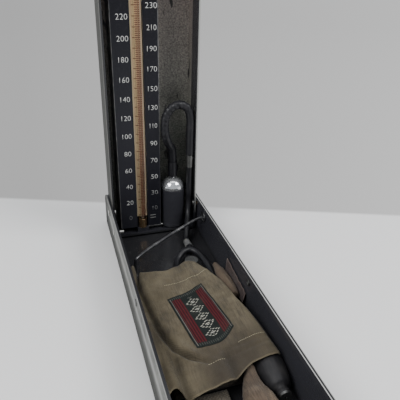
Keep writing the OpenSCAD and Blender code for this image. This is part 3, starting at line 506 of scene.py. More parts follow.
def paint(obj: bpy.types.Object, material: bpy.types.Material, slot: Slot) -> None:
    """Gives a new piece its material."""
    obj.data.materials.clear()
    obj.data.materials.append(material)


def dress(nodes: Iterable[str], material: bpy.types.Material) -> None:
    """Gives CAD nodes a material."""
    for name in nodes:
        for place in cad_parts[name].material_slots:
            place.material = material


def mesh_piece(name: str, points: Sequence[Vector], faces: Sequence[Sequence[int]],
               uvs: Sequence[tuple[float, float]] | None = None) -> bpy.types.Object:
    """Makes a smooth mesh object in the row's frame.

    Args:
        name: The piece's name.
        points: Its vertices, in metres.
        faces: Its faces, as vertex numbers.
        uvs: A flat place for each vertex, in metres, where a cloth has one.

    Returns:
        The new object.
    """
    mesh = bpy.data.meshes.new(name)
    mesh.from_pydata([tuple(p) for p in points], [], [tuple(f) for f in faces])
    mesh.update()
    if uvs is not None:
        layer = mesh.uv_layers.new(name="flat")
        for loop in mesh.loops:
            layer.data[loop.index].uv = uvs[loop.vertex_index]
    for polygon in mesh.polygons:
        polygon.use_smooth = True
    obj = bpy.data.objects.new(name, mesh)
    bpy.context.scene.collection.objects.link(obj)
    return obj


def mark(obj: bpy.types.Object, name: str, values: Sequence[float]) -> None:
    """Stores a value for each vertex as an attribute."""
    attribute = obj.data.attributes.new(name, "FLOAT", "POINT")
    attribute.data.foreach_set("value", list(values))


def leave_unmarked(obj: bpy.types.Object) -> None:
    """Marks a cloth piece as having no pale edge and no painted fold shade."""
    for name in ("edge", "fold"):
        mark(obj, name, [0.0] * len(obj.data.vertices))


def curve_through(points: Sequence[Point], steps: int) -> list[Vector]:
    """Returns a smooth curve through points given in millimetres.

    Args:
        points: The points that the curve passes through.
        steps: How many pieces each stretch is cut into.

    Returns:
        The curve's points, in metres.
    """
    p = [Vector(q) for q in points]
    made: list[Vector] = []
    for i in range(len(p) - 1):
        a, b, c, d = p[max(i - 1, 0)], p[i], p[i + 1], p[min(i + 2, len(p) - 1)]
        for k in range(steps):
            t = k / steps
            made.append(0.5 * (2 * b + (c - a) * t + (2 * a - 5 * b + 4 * c - d) * t * t
                               + (3 * b - 3 * c + d - a) * t * t * t))
    made.append(p[-1])
    return [q * MM for q in made]


def spread(values: Sequence[float], steps: int) -> list[float]:
    """Returns values along a curve, made smooth as curve_through does."""
    return [q[0] / MM for q in curve_through([(v, 0.0, 0.0) for v in values], steps)]


def ease(t: float) -> float:
    """Returns a smooth step from 0 to 1."""
    t = min(1.0, max(0.0, t))
    return t * t * (3 - 2 * t)


def hump(d: float, w: float) -> float:
    """Returns a bell of height 1 and half width w."""
    return math.exp(-(d / w) ** 2)


def look_up(x: float, table: Sequence[tuple[float, float]]) -> float:
    """Returns a value from a table.

    Args:
        x: Where to read the table.
        table: Rows of x and value, with x rising.

    Returns:
        The value between the two rows about x, or that of the nearer end.
    """
    if x <= table[0][0]:
        return table[0][1]
    for (x0, y0), (x1, y1) in zip(table, table[1:]):
        if x <= x1:
            return y0 + (y1 - y0) * (x - x0) / (x1 - x0)
    return table[-1][1]


def tube(name: str, line: Sequence[Vector], radius: Callable[[float, float], float],
         side: Vector, sides: int, first: Vector, last: Vector,
         flat: float = 1.0) -> bpy.types.Object:
    """Sweeps a closed tube along a line.

    Args:
        name: The piece's name.
        line: The tube's middle line, in metres.
        radius: Gives the radius in metres from the share of the length and the angle.
        side: A direction that is never along the line.
        sides: How many sides the tube has.
        first: The direction of its first end face.
        last: The direction of its last end face.
        flat: Its height as a share of its width.

    Returns:
        The tube, with a UV map in metres: along it and round it.
    """
    m = len(line) - 1
    run = [0.0]
    for a, b in zip(line, line[1:]):
        run.append(run[-1] + (b - a).length)
    points: list[Vector] = []
    uvs: list[tuple[float, float]] = []
    for i, p in enumerate(line):
        way = (first if i == 0 else last if i == m
               else (line[min(i + 1, m)] - line[max(i - 1, 0)])).normalized()
        a = side.cross(way).normalized()
        b = way.cross(a)
        for k in range(sides):
            angle = math.tau * k / sides
            r = radius(run[i] / run[-1], angle)
            points.append(p + a * (r * math.cos(angle)) + b * (r * flat * math.sin(angle)))
            uvs.append((run[i], r * angle))
    faces = [(i * sides + k, i * sides + (k + 1) % sides, (i + 1) * sides + (k + 1) % sides,
              (i + 1) * sides + k) for i in range(m) for k in range(sides)]
    faces.append(tuple(reversed(range(sides))))
    faces.append(tuple(m * sides + k for k in range(sides)))
    obj = mesh_piece(name, points, faces, uvs)
    recalc(obj)
    return obj


def sheet_piece(name: str, place: Callable[[float, float], Vector], nu: int, nv: int,
                size: tuple[float, float], thick: float,
                fold: Callable[[float, float], float] | None = None,
                edge_width: float = 0.012) -> bpy.types.Object:
    """Makes a sheet of cloth from a function, with its thickness and a marked edge.

    Args:
        name: The piece's name.
        place: Gives the point in metres at u and v, 0 to 1.
        nu: Cells along u.
        nv: Cells along v.
        size: The cloth's flat size along u and v, in metres.
        thick: Its thickness, in metres.
        fold: Gives how deep a place lies in the painted shade of a fold, 0 to 1.
        edge_width: The width of the pale edge, as a share of the sheet.

    Returns:
        The sheet.
    """
    points, uvs, edges, folds = [], [], [], []
    for i in range(nu + 1):
        for j in range(nv + 1):
            u, v = i / nu, j / nv
            points.append(place(u, v))
            uvs.append((u * size[0], v * size[1]))
            nearest = min(u * size[0], (1 - u) * size[0], v * size[1], (1 - v) * size[1])
            edges.append(1.0 - ease(nearest / (edge_width * max(size))))
            folds.append(fold(u, v) if fold else 0.0)
    row = nv + 1
    faces = [(i * row + j, i * row + j + 1, (i + 1) * row + j + 1, (i + 1) * row + j)
             for i in range(nu) for j in range(nv)]
    obj = mesh_piece(name, points, faces, uvs)
    mark(obj, "edge", edges)
    mark(obj, "fold", folds)
    up = sum((p.normal.z for p in obj.data.polygons)) / len(obj.data.polygons)
    if up < 0:
        pick(obj)
        bpy.ops.object.mode_set(mode="EDIT")
        bpy.ops.mesh.select_all(action="SELECT")
        bpy.ops.mesh.flip_normals()
        bpy.ops.object.mode_set(mode="OBJECT")
    finish_with(obj, "SOLIDIFY", thickness=thick, offset=-1.0)
    return obj


def slab_piece(name: str, low: Point, high: Point, rise: tuple[float, float],
               nu: int, nv: int, ripple: float) -> bpy.types.Object:
    """Makes a stuffed slab, thinner at its edges.

    Args:
        name: The piece's name.
        low: Its lowest corner, in millimetres.
        high: Its highest corner, in millimetres.
        rise: How far its bottom and its top rise along u, in millimetres.
        nu: Cells along u, which runs along x.
        nv: Cells along v, which runs along y.
        ripple: The depth of its ripples, in millimetres.

    Returns:
        The slab, with a UV map in metres.
    """
    points, uvs, faces = [], [], []
    row, total = nv + 1, (nu + 1) * (nv + 1)
    for side in (1, -1):
        for i in range(nu + 1):
            for j in range(nv + 1):
                u, v = i / nu, j / nv
                full = max(0.0, math.sin(math.pi * u) * math.sin(math.pi * v)) ** 0.4
                bottom = low[2] + rise[0] * u
                half = (high[2] + rise[1] * u - bottom) / 2
                x = low[0] + (high[0] - low[0]) * u
                y = high[1] + (low[1] - high[1]) * v
                wave = ripple * noise.noise(Vector((x / 16, y / 22, 3.0 * side)))
                z = bottom + half + side * (half * (0.35 + 0.65 * full)) - abs(wave) * side
                points.append(Vector((x, y, z)) * MM)
                uvs.append((x * MM, y * MM))
    for i in range(nu):
        for j in range(nv):
            a, b = i * row + j, (i + 1) * row + j
            faces += [(a, a + 1, b + 1, b), (a + total, b + total, b + 1 + total, a + 1 + total)]
    for i in range(nu):
        a, b = i * row, (i + 1) * row
        faces += [(a, b, b + total, a + total),
                  (a + nv, a + nv + total, b + nv + total, b + nv)]
    for j in range(nv):
        b = nu * row + j
        faces += [(j, j + total, j + 1 + total, j + 1), (b, b + 1, b + 1 + total, b + total)]
    obj = mesh_piece(name, points, faces, uvs)
    recalc(obj)
    leave_unmarked(obj)
    return obj


# ---------------------------------------------------------------- studio


@dataclass(frozen=True)
class Studio:
    """Camera, lights, floor and backdrop, as the photograph has them."""

    eye: Point = (-96.7, -320.4, 288.9)
    heading: float = 18.28
    pitch: float = 27.56
    roll: float = 1.71
    lens: float = 41.88
    wall_distance: float = 0.200
    eye_back: float = 0.334
    eye_side: float = 0.019
    floor_half: float = 12.0
    sensor: float = 36.0
    wall_turn: float = 1.7
    wall_soft: float = 0.003
    lamps: tuple[tuple[str, Point, float, float], ...] = (
        ("left_soft_box", (-0.75, -0.35, 0.95), 0.6, 10.6),
        ("right_soft_box", (0.75, -0.45, 1.05), 0.6, 11.0),
        ("top_soft_box", (0.0, 0.25, 1.5), 1.2, 7.6))
    lamps_aim: Point = (0.0, 0.05, 0.08)
    sky: tuple[float, float, float, float] = (0.9, 0.95, 1.0, 1.0)
    sky_power: float = 0.50

    def build(self) -> None:
        """Adds the camera, the floor and the lights."""
        self._camera()
        self._floor()
        self._lights()
        LOG.info("studio: camera, floor and lights")

    def _camera(self) -> None:
        """Adds the camera from its place and its three angles."""
        h, t, r = (math.radians(a) for a in (self.heading, self.pitch, self.roll))
        ahead = Vector((math.sin(h) * math.cos(t), math.cos(h) * math.cos(t), -math.sin(t)))
        level = Vector((math.cos(h), -math.sin(h), 0.0))
        up = level.cross(ahead)
        right = math.cos(r) * level + math.sin(r) * up
        top = -math.sin(r) * level + math.cos(r) * up
        data = bpy.data.cameras.new("photo_camera")
        data.lens, data.sensor_width = self.lens, self.sensor
        data.clip_start, data.clip_end = 0.01, 40.0
        camera = bpy.data.objects.new("photo_camera", data)
        bpy.context.scene.collection.objects.link(camera)
        turned = Matrix((right, top, -ahead)).transposed().to_4x4()
        camera.matrix_world = Matrix.Translation(Vector(self.eye) * MM) @ turned
        bpy.context.scene.camera = camera

    def _floor(self) -> None:
        """Adds one sheet that is the pale table in front and the grey wall beyond, both with
        painted light.
        """
        deselect()
        bpy.ops.mesh.primitive_plane_add(size=2 * self.floor_half, location=(0, 0, -0.0001))
        floor = settle(bpy.context.object, "studio_floor")
        material = bpy.data.materials.new("studio_floor")
        material.use_nodes = True
        g = Graph(material.node_tree)
        shader = material.node_tree.nodes["Principled BSDF"]
        place = g.parts(g.place())
        h = math.radians(self.heading + self.wall_turn)
        beyond = g.math("ADD", g.times(place[0], math.sin(h)), g.times(place[1], math.cos(h)))
        across = g.minus(g.times(place[0], math.cos(h)), g.times(place[1], math.sin(h)))
        wall = g.ramp(beyond, self.wall_distance - self.wall_soft,
                      self.wall_distance + self.wall_soft)
        # Painted light: the table is paler toward the right.
        table = g.blend(g.ramp(across, -0.2, 0.35), (0.745, 0.74, 0.735), (0.82, 0.81, 0.805))
        g.feed(shader.inputs["Base Color"], g.blend(wall, table, (0.0, 0.0, 0.0)))
        g.fill(shader, {"Roughness": 0.8, "Specular IOR Level": 0.2})
        # Painted light: the wall zone glows instead of taking light, brighter toward the right and
        # a little dimmer further off.
        ahead = g.math("ADD", beyond, self.eye_back)
        turn = g.math("DIVIDE", g.minus(across, self.eye_side), ahead)
        grey = g.times(g.ramp(turn, -0.43, 0.43, 0.470, 0.690), g.ramp(ahead, 0.6, 2.5, 1.06, 0.98))
        shade = g.node("ShaderNodeCombineColor", {0: grey, 1: grey, 2: grey})
        g.feed(shader.inputs["Emission Color"], g.blend(wall, (0.0, 0.0, 0.0), shade.outputs[0]))
        shader.inputs["Emission Strength"].default_value = 1.0
        floor.data.materials.append(material)

    def _lights(self) -> None:
        """Adds two soft boxes, a broad top light and a grey sky."""
        for name, where, size, power in self.lamps:
            data = bpy.data.lights.new(name, "AREA")
            data.shape, data.size, data.energy = "SQUARE", size, power
            lamp = bpy.data.objects.new(name, data)
            bpy.context.scene.collection.objects.link(lamp)
            lamp.location = where
            aim = Vector(self.lamps_aim) - Vector(where)
            lamp.rotation_euler = aim.to_track_quat("-Z", "Y").to_euler()
        world = bpy.data.worlds.new("studio_sky")
        world.use_nodes = True
        sky = world.node_tree.nodes["Background"]
        sky.inputs["Color"].default_value = self.sky
        sky.inputs["Strength"].default_value = self.sky_power
        bpy.context.scene.world = world


# ---------------------------------------------------------------- case and lid


@dataclass
class SheetSteel:
    """The case tray, worn and pale outside, and the darker lid shell; both black inside."""

    finishes: Finishes
    case_half_w: float = 50.5 * MM
    case_half_l: float = 182.5 * MM
    case_hem: float = 2.6 * MM
    lid_half_w: float = 47.5 * MM
    lid_rim_y: float = 131.5 * MM
    lid_back_y: float = 166.9 * MM
    lid_low_z: float = 5.0 * MM
    lid_top_z: float = 350.0 * MM
    pale: Colour = (0.215, 0.215, 0.205)
    grime: Colour = (0.085, 0.085, 0.078)
    bright: Colour = (0.42, 0.42, 0.40)
    black: Colour = (0.042, 0.042, 0.049)
    lid_black: Colour = (0.020, 0.020, 0.024)
    hammered: Colour = (0.200, 0.165, 0.145)

    def build(self) -> None:
        """Dresses both shells and the pieces fixed to them."""
        dress(["case_tray"], self._case_enamel())
        dress(["lid_shell"], self._lid_enamel())
        dress(["rubber_feet", "lid_stop_pads"], self.finishes.plain(FOOT_RUBBER))
        dress(["hinge_pins", "bail_stud", "panel_screws", "panel_nuts",
               "catch_slide", "catch_guide"], self.finishes.plain(NICKEL))
        dress(["wall_rivets"], self.finishes.plain(WALL_METAL))
        dress(["hinge_washers"], self.finishes.plain(BRASS))
        LOG.info("case and lid: enamel, rims and fittings")

    def _outer_paint(self, g: Graph, place: object) -> bpy.types.NodeSocket:
        """Returns the colour of the worn outer enamel."""
        wear = self.finishes.wear(g, place, Scale=38.0, Stretch=0.06, Low=0.44, High=0.64)
        grain = self.finishes.grain(g, place, Scale=500.0, Spots=60.0)
        colour = g.blend(g.times(wear, 0.7), self.pale, self.grime)
        return g.blend(g.times(grain[1], 0.6), colour, self.grime)

    def _case_enamel(self) -> bpy.types.Material:
        """Makes the case's enamel: pale outside, black inside, painted highlights on the rim and
        outer wall, painted shade low down and at the rear.
        """
        material, g, shader = self.finishes.start("case_enamel")
        coords = g.node("ShaderNodeTexCoord")
        place = coords.outputs["Object"]
        at = g.parts(place)
        way = g.parts(coords.outputs["Normal"])
        x_in = g.minus(self.case_half_w, g.math("ABSOLUTE", at[0]))
        y_in = g.minus(self.case_half_l, g.math("ABSOLUTE", at[1]))
        deep = g.math("MINIMUM", x_in, y_in)
        inside = g.times(g.ramp(deep, 0.6 * MM, 0.8 * MM), g.ramp(at[2], 1.9 * MM, 2.1 * MM))
        rim = g.times(g.ramp(g.math("ADD", way[2], g.times(g.ramp(
            at[1], 160 * MM, 170 * MM), way[1])), 0.5, 0.8), g.ramp(at[2], 12 * MM, 14 * MM))
        outer = self._outer_paint(g, place)
        # Painted shade: the outer wall darkens toward its foot, like a contact shadow.
        outer = g.blend(g.ramp(at[2], 27 * MM, 15 * MM, 0.0, 0.9), outer, (0.042, 0.042, 0.038))
        # Painted highlights: a light band along the outer wall about 29 mm up, and the wall's top
        # edge.
        highlight_band = g.math("MAXIMUM", g.band(at[2], 29 * MM, 1.5 * MM, 4 * MM),
                        g.ramp(at[2], 43.5 * MM, 45.5 * MM))
        outer = g.blend(g.times(highlight_band, 0.5), outer, self.bright)
        # Painted shade: the outer wall darkens toward the rear end.
        outer = g.blend(g.ramp(at[1], 138 * MM, 172 * MM, 0.0, 0.85), outer, (0.03, 0.03, 0.03))
        scuffs = self.finishes.wear(g, place, Scale=120.0, Low=0.52, High=0.7)
        # Painted shade inside: darker toward the floor; also slightly darker toward the rear.
        high = g.blend(g.ramp(at[1], 50 * MM, 105 * MM), self.black, (0.033, 0.033, 0.040))
        walls = g.blend(g.ramp(at[2], 3 * MM, 9 * MM), (0.020, 0.020, 0.022), high)
        inner = g.blend(g.times(scuffs, 0.4), walls, (0.05, 0.048, 0.045))
        # Painted highlights on the rim: a thin light line at its outer edge all round and, on the
        # right, a second at its inner edge, brighter on the right; between them the rim is dark,
        # black paint with a painted dark reflection.
        right_side = g.ramp(at[0], 30 * MM, 40 * MM)
        inner_highlight_line = g.times(right_side, g.ramp(
            deep, self.case_hem - 0.9 * MM, self.case_hem - 0.5 * MM))
        rim_highlight_line = g.math("MAXIMUM", g.ramp(deep, 0.55 * MM, 0.3 * MM), inner_highlight_line)
        rim_highlight = g.blend(right_side, (0.20, 0.20, 0.19), (0.42, 0.42, 0.40))
        rim_colour = g.blend(rim_highlight_line, (0.018, 0.018, 0.020), rim_highlight)
        colour = g.blend(rim, g.blend(inside, outer, inner), rim_colour)
        g.feed(shader.inputs["Base Color"], colour)
        g.feed(shader.inputs["Roughness"], g.ramp(inside, 0.0, 1.0, 0.62, 0.22))
        g.feed(shader.inputs["Specular IOR Level"], g.ramp(inside, 0.0, 1.0, 0.12, 0.5))
        grain = self.finishes.grain(g, place, Scale=420.0)
        self.finishes.bumped(g, shader, grain[0], 0.00006)
        return material

    def _lid_enamel(self) -> bpy.types.Material:
        """Makes the lid's enamel: dark outside, pale lip, black sides, hammered back, painted
        highlight line on the hem.
        """
        material, g, shader = self.finishes.start("lid_enamel")
        coords = g.node("ShaderNodeTexCoord")
        place = coords.outputs["Object"]
        at = g.parts(place)
        way = g.parts(coords.outputs["Normal"])
        x_in = g.minus(self.lid_half_w, g.math("ABSOLUTE", at[0]))
        z_in = g.math("MINIMUM", g.minus(at[2], self.lid_low_z), g.minus(self.lid_top_z, at[2]))
        edge_in = g.math("MINIMUM", x_in, z_in)
        deep = g.math("MINIMUM", edge_in, g.minus(self.lid_back_y, at[1]))
        inside = g.ramp(deep, 0.4 * MM, 0.6 * MM)
        back = g.times(g.ramp(way[1], -0.6, -0.9), g.ramp(at[1], 0.160, 0.163))
        beside = g.times(g.ramp(way[0], -0.6, -0.9), g.ramp(at[1], 0.153, 0.157))
        back = g.math("MAXIMUM", back, g.times(beside, g.ramp(at[2], 0.08, 0.12)))
        hem = g.times(g.ramp(way[1], -0.6, -0.9),
                      g.ramp(at[1], self.lid_rim_y + 1.2 * MM, self.lid_rim_y + 0.8 * MM))
        outer = self._outer_paint(g, place)
        mottle = self.finishes.grain(g, place, Scale=620.0, Spots=230.0)
        blotch = self.finishes.wear(g, place, Scale=95.0, Stretch=1.0, Low=0.50, High=0.62)
        low = g.ramp(at[2], 0.26, 0.12)
        hammered = g.blend(low, self.hammered, (0.175, 0.180, 0.155))
        hammered = g.blend(g.times(mottle[1], 0.7), hammered, (0.085, 0.077, 0.071))
        hammered = g.blend(g.times(blotch, 0.4), hammered, (0.26, 0.235, 0.21))
        hammered = g.scaled(hammered, g.ramp(mottle[0], 0.36, 0.64, 0.55, 1.4))
        scratches = g.noise(g.node("ShaderNodeMapping", {
            "Vector": place, "Rotation": (0.0, 0.6, 0.0), "Scale": (1.0, 1.0, 0.28)}).outputs[0],
            170.0, 2.0, 0.4)
        hammered = g.blend(g.ramp(scratches, 0.66, 0.70), hammered, (0.012, 0.011, 0.011))
        inner = g.blend(back, self.lid_black, hammered)
        # Painted highlight: a thin light line along the hem's edge, wider and brighter on the
        # right; it fades out low down.
        wide = g.ramp(at[0], -10 * MM, 10 * MM, 0.7 * MM, 1.5 * MM)
        line = g.times(g.ramp(g.minus(wide, edge_in), 0.0, 0.3 * MM),
                       g.ramp(at[2], 24 * MM, 40 * MM))
        hem_highlight = g.blend(g.ramp(at[0], -10 * MM, 10 * MM), (0.06, 0.06, 0.058),
                            (0.34, 0.34, 0.32))
        hem_colour = g.blend(line, (0.022, 0.022, 0.024), hem_highlight)
        outer = g.blend(0.85, outer, (0.05, 0.05, 0.047))
        lip = g.times(g.ramp(at[1], self.lid_rim_y + 5 * MM, self.lid_rim_y + 1 * MM),
                      g.ramp(at[2], 24 * MM, 40 * MM))
        outer = g.blend(g.times(lip, 0.55), outer, (0.33, 0.33, 0.31))
        colour = g.blend(hem, g.blend(inside, outer, inner), hem_colour)
        g.feed(shader.inputs["Base Color"], colour)
        g.feed(shader.inputs["Roughness"],
               g.ramp(g.times(inside, g.minus(1.0, back)), 0.0, 1.0,
                      0.55, 0.24))
        g.feed(shader.inputs["Specular IOR Level"], g.ramp(inside, 0.0, 1.0, 0.12, 0.5))
        self.finishes.bumped(g, shader, mottle[0], 0.0002)
        return material


# ---------------------------------------------------------------- scale


@dataclass
class ScalePanel:
    """The black panel with its numerals, rules and bright edges, partly worn and partly painted
    highlight.
    """

    finishes: Finishes
    face_y: float = 137.5
    zero_z: float = 25.0
    per_hg: float = 0.97
    left_x: float = -27.1
    right_x: float = 1.0
    tube_x: float = -13.5
    panel_x0: float = -38.1
    panel_x1: float = 7.6
    digit_w: float = 3.3
    one_w: float = 1.6
    digit_gap: float = 0.65
    digit_h: float = 5.1
    bolder: float = -0.010
    paint_thick: float = 0.06
    numeral_gap: float = 0.08
    rule_heights: tuple[float, float] = (22.3, 25.6)
    rule_x: float = -1.6
    rule_w: float = 6.4
    rule_h: float = 0.7
    top: int = 300

    def build(self) -> None:
        """Dresses the panel and adds its numerals and rules."""
        dress(["scale_panel"], self._panel_enamel())
        dress(["scale_strip"], self._strip_print())
        self._numerals()
        self._rules()
        LOG.info("scale: numerals, rules and printed strip")

    def _panel_enamel(self) -> bpy.types.Material:
        """Makes the panel's enamel, with bright lines at its long edges that are partly worn paint
        and partly painted highlight.
        """
        material, g, shader = self.finishes.start("panel_enamel")
        place = g.place()
        at = g.parts(place)
        wear = self.finishes.wear(g, place, Scale=160.0, Low=0.36, High=0.6)
        # Bright lines along both long edges, partly worn paint and partly painted highlight; the
        # right one is dimmer low down.
        left = g.band(at[0], self.panel_x0 * MM, 0.35 * MM, 0.2 * MM)
        right = g.band(at[0], self.panel_x1 * MM, 0.5 * MM, 0.5 * MM)
        right = g.times(right, g.ramp(at[2], 0.09, 0.17, 0.15, 0.8))
        worn = g.times(g.math("MAXIMUM", left, right), wear)
        speck = self.finishes.grain(g, place, Scale=1200.0, Spots=420.0)
        low = g.blend(g.ramp(at[0], -20 * MM, -5 * MM), (0.017, 0.017, 0.022),
                      (0.009, 0.009, 0.013))
        base = g.blend(g.ramp(at[2], 0.26, 0.13), (0.003, 0.003, 0.006), low)
        colour = g.blend(g.times(speck[1], 0.5), base, (0.022, 0.022, 0.026))
        g.feed(shader.inputs["Base Color"], g.blend(g.times(worn, 0.8), colour, (0.24, 0.24, 0.23)))
        g.fill(shader, {"Roughness": 0.45, "Specular IOR Level": 0.25})
        self.finishes.bumped(g, shader, speck[0], 0.00003)
        return material

    def _strip_print(self) -> bpy.types.Material:
        """Makes the yellowed strip with its graduations and the stain low on its right."""
        material, g, shader = self.finishes.start("scale_strip_print")
        place = g.place()
        at = g.parts(place)
        x = g.minus(at[0], self.tube_x * MM)
        reading = g.math("DIVIDE", g.minus(at[2], self.zero_z * MM), self.per_hg * MM)
        halves = g.math("ADD", g.math("DIVIDE", reading, 2.0), 0.5)
        tens = g.math("ADD", g.math("DIVIDE", reading, 10.0), 0.5)
        near = [g.math("ABSOLUTE", g.minus(g.math("FRACT", v), 0.5)) for v in (halves, tens)]
        minor = g.times(g.ramp(near[0], 0.26, 0.17), g.band(x, 1.0 * MM, 1.9 * MM, 0.3 * MM))
        major = g.times(g.ramp(near[1], 0.055, 0.036), g.band(x, 0.3 * MM, 3.6 * MM, 0.3 * MM))
        scaled = g.times(g.ramp(reading, -0.5, 0.0), g.ramp(reading, 300.8, 300.2))
        ticks = g.times(g.math("MAXIMUM", minor, major), scaled)
        age = g.noise(place, 70.0, 4.0)
        low = g.ramp(at[2], 0.235, 0.03)
        paper = g.blend(age, (0.80, 0.58, 0.32), (0.62, 0.42, 0.22))
        paper = g.blend(g.times(low, 0.6), paper, (0.36, 0.29, 0.195))
        half = g.ramp(x, -1.0 * MM, 1.5 * MM)
        paper = g.blend(g.times(half, 0.55), paper, (0.56, 0.32, 0.21))
        rims = g.ramp(g.math("ABSOLUTE", x), 3.9 * MM, 4.5 * MM)
        paper = g.blend(g.times(rims, 0.6), paper, (0.72, 0.63, 0.44))
        smear = g.math("ADD", g.times(g.noise(place, 110.0, 3.0), 0.8), 0.35)
        column = g.band(x, 1.9 * MM, 1.9 * MM, 0.9 * MM)
        strength = g.times(g.ramp(at[2], 0.26, 0.06, 0.18, 0.95), smear)
        stain = g.times(column, strength)
        colour = g.blend(stain, paper, (0.19, 0.078, 0.056))
        colour = g.blend(g.times(ticks, 0.9), colour, (0.17, 0.045, 0.022))
        g.feed(shader.inputs["Base Color"], colour)
        shader.inputs["Roughness"].default_value = 0.6
        self.finishes.bumped(g, shader, age, 0.00002)
        return material

    def _numerals(self) -> None:
        """Adds the numbers: even tens left of the tube, odd tens right of it."""
        made = []
        for reading in range(0, self.top + 1, 10):
            column = self.left_x if reading % 20 == 0 else self.right_x
            deselect()
            bpy.ops.object.text_add(location=(0, 0, 0))
            text = bpy.context.object
            text.data.body = str(reading)
            text.data.align_x, text.data.align_y = "CENTER", "CENTER"
            text.data.size = 1.0
            text.data.offset = self.bolder
            text.data.resolution_u = 3
            bpy.ops.object.convert(target="MESH")
            obj = bpy.context.object
            xs = [v.co.x for v in obj.data.vertices]
            ys = [v.co.y for v in obj.data.vertices]
            wide = sum(self.one_w if c == "1" else self.digit_w for c in str(reading))
            wide += self.digit_gap * (len(str(reading)) - 1)
            for vertex in obj.data.vertices:
                across = (vertex.co.x - (min(xs) + max(xs)) / 2) / (max(xs) - min(xs)) * wide
                up = (vertex.co.y - (min(ys) + max(ys)) / 2) / (max(ys) - min(ys)) * self.digit_h
                vertex.co = Vector((column + across, self.face_y - self.numeral_gap,
                                    self.zero_z + reading * self.per_hg + up)) * MM
            made.append(obj)
        numerals = join_all(made, "scale_numerals")
        finish_with(numerals, "SOLIDIFY", thickness=self.paint_thick * MM, offset=0.0)
        recalc(numerals)
        paint(numerals, self._numeral_paint(), Slot.STRIP)
        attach(numerals, Body.LID.value)

    def _numeral_paint(self) -> bpy.types.Material:
        """Makes the numerals' white paint, chipped, and darkened low on the right and at the foot.
        """
        material, g, shader = self.finishes.start("numeral_paint_dark_foot")
        place = g.place()
        at = g.parts(place)
        chips = self.finishes.wear(g, place, Scale=420.0, Stretch=1.0, Low=0.55, High=0.68)
        # Darker low on the right and at the foot.
        right = g.times(g.ramp(at[0], -10 * MM, -6 * MM), g.ramp(at[2], 0.075, 0.045))
        foot = g.math("MAXIMUM", right, g.ramp(at[2], 0.038, 0.028))
        colour = g.blend(g.times(chips, 0.6), (0.52, 0.52, 0.50), (0.14, 0.14, 0.14))
        g.feed(shader.inputs["Base Color"],
               g.blend(g.times(foot, 0.82), colour, (0.05, 0.05, 0.055)))
        shader.inputs["Roughness"].default_value = 0.55
        return material

    def _rules(self) -> None:
        """Adds two thin painted rules at the panel's foot, right of the zero."""
        made = []
        for height in self.rule_heights:
            deselect()
            bpy.ops.mesh.primitive_cube_add(size=1.0, location=(0, 0, 0))
            bar = bpy.context.object
            bar.scale = (self.rule_w * MM, self.paint_thick * MM, self.rule_h * MM)
            bar.location = (self.rule_x * MM, (self.face_y - self.paint_thick) * MM, height * MM)
            bpy.ops.object.transform_apply(location=True, rotation=True, scale=True)
            bpy.ops.object.mode_set(mode="EDIT")
            bpy.ops.mesh.select_all(action="SELECT")
            bpy.ops.mesh.bevel(offset=0.02 * MM, segments=2)
            bpy.ops.object.mode_set(mode="OBJECT")
            made.append(bar)
        rules = join_all(made, "scale_rules")
        paint(rules, self.finishes.plain(RULE_PAINT), Slot.STRIP)
        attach(rules, Body.LID.value)


@dataclass
class TubeAndReservoir:
    """The glass tube with its fittings and the mercury reservoir."""

    finishes: Finishes

    def build(self) -> None:
        """Dresses every piece of the column and the reservoir."""
        dress(["glass_tube"], self._glass())
        dress(["tube_mercury", "reservoir_mercury"], self.finishes.plain(MERCURY))
        dress(["tube_gland"], self.finishes.plain(BRASS))
        dress(["tube_cap", "transfer_pipe"], self.finishes.plain(NICKEL))
        dress(["gland_block", "bail_plate"], self.finishes.plain(BLACK_ENAMEL))
        dress(["gland_seal", "dome_gasket"], self.finishes.plain(FOOT_RUBBER))
        dress(["vent_disc"], self.finishes.plain(VENT))
        dress(["reservoir_foot", "reservoir_body"], self.finishes.plain(RESERVOIR_BLACK))
        dress(["reservoir_dome"], self.finishes.plain(CHROME))
        LOG.info("tube and reservoir: glass, mercury, brass and chrome")

    def _glass(self) -> bpy.types.Material:
        """Makes the glass of the tube, slightly dusty."""
        material, g, shader = self.finishes.start("tube_glass")
        place = g.place()
        dust = self.finishes.grain(g, place, Scale=300.0)
        g.fill(shader, {"Base Color": (0.98, 0.97, 0.95), "Transmission Weight": 1.0,
                        "IOR": 1.12, "Roughness": g.ramp(dust[1], 0.0, 1.0, 0.03, 0.12)})
        return material


# ---------------------------------------------------------------- hoses and bail


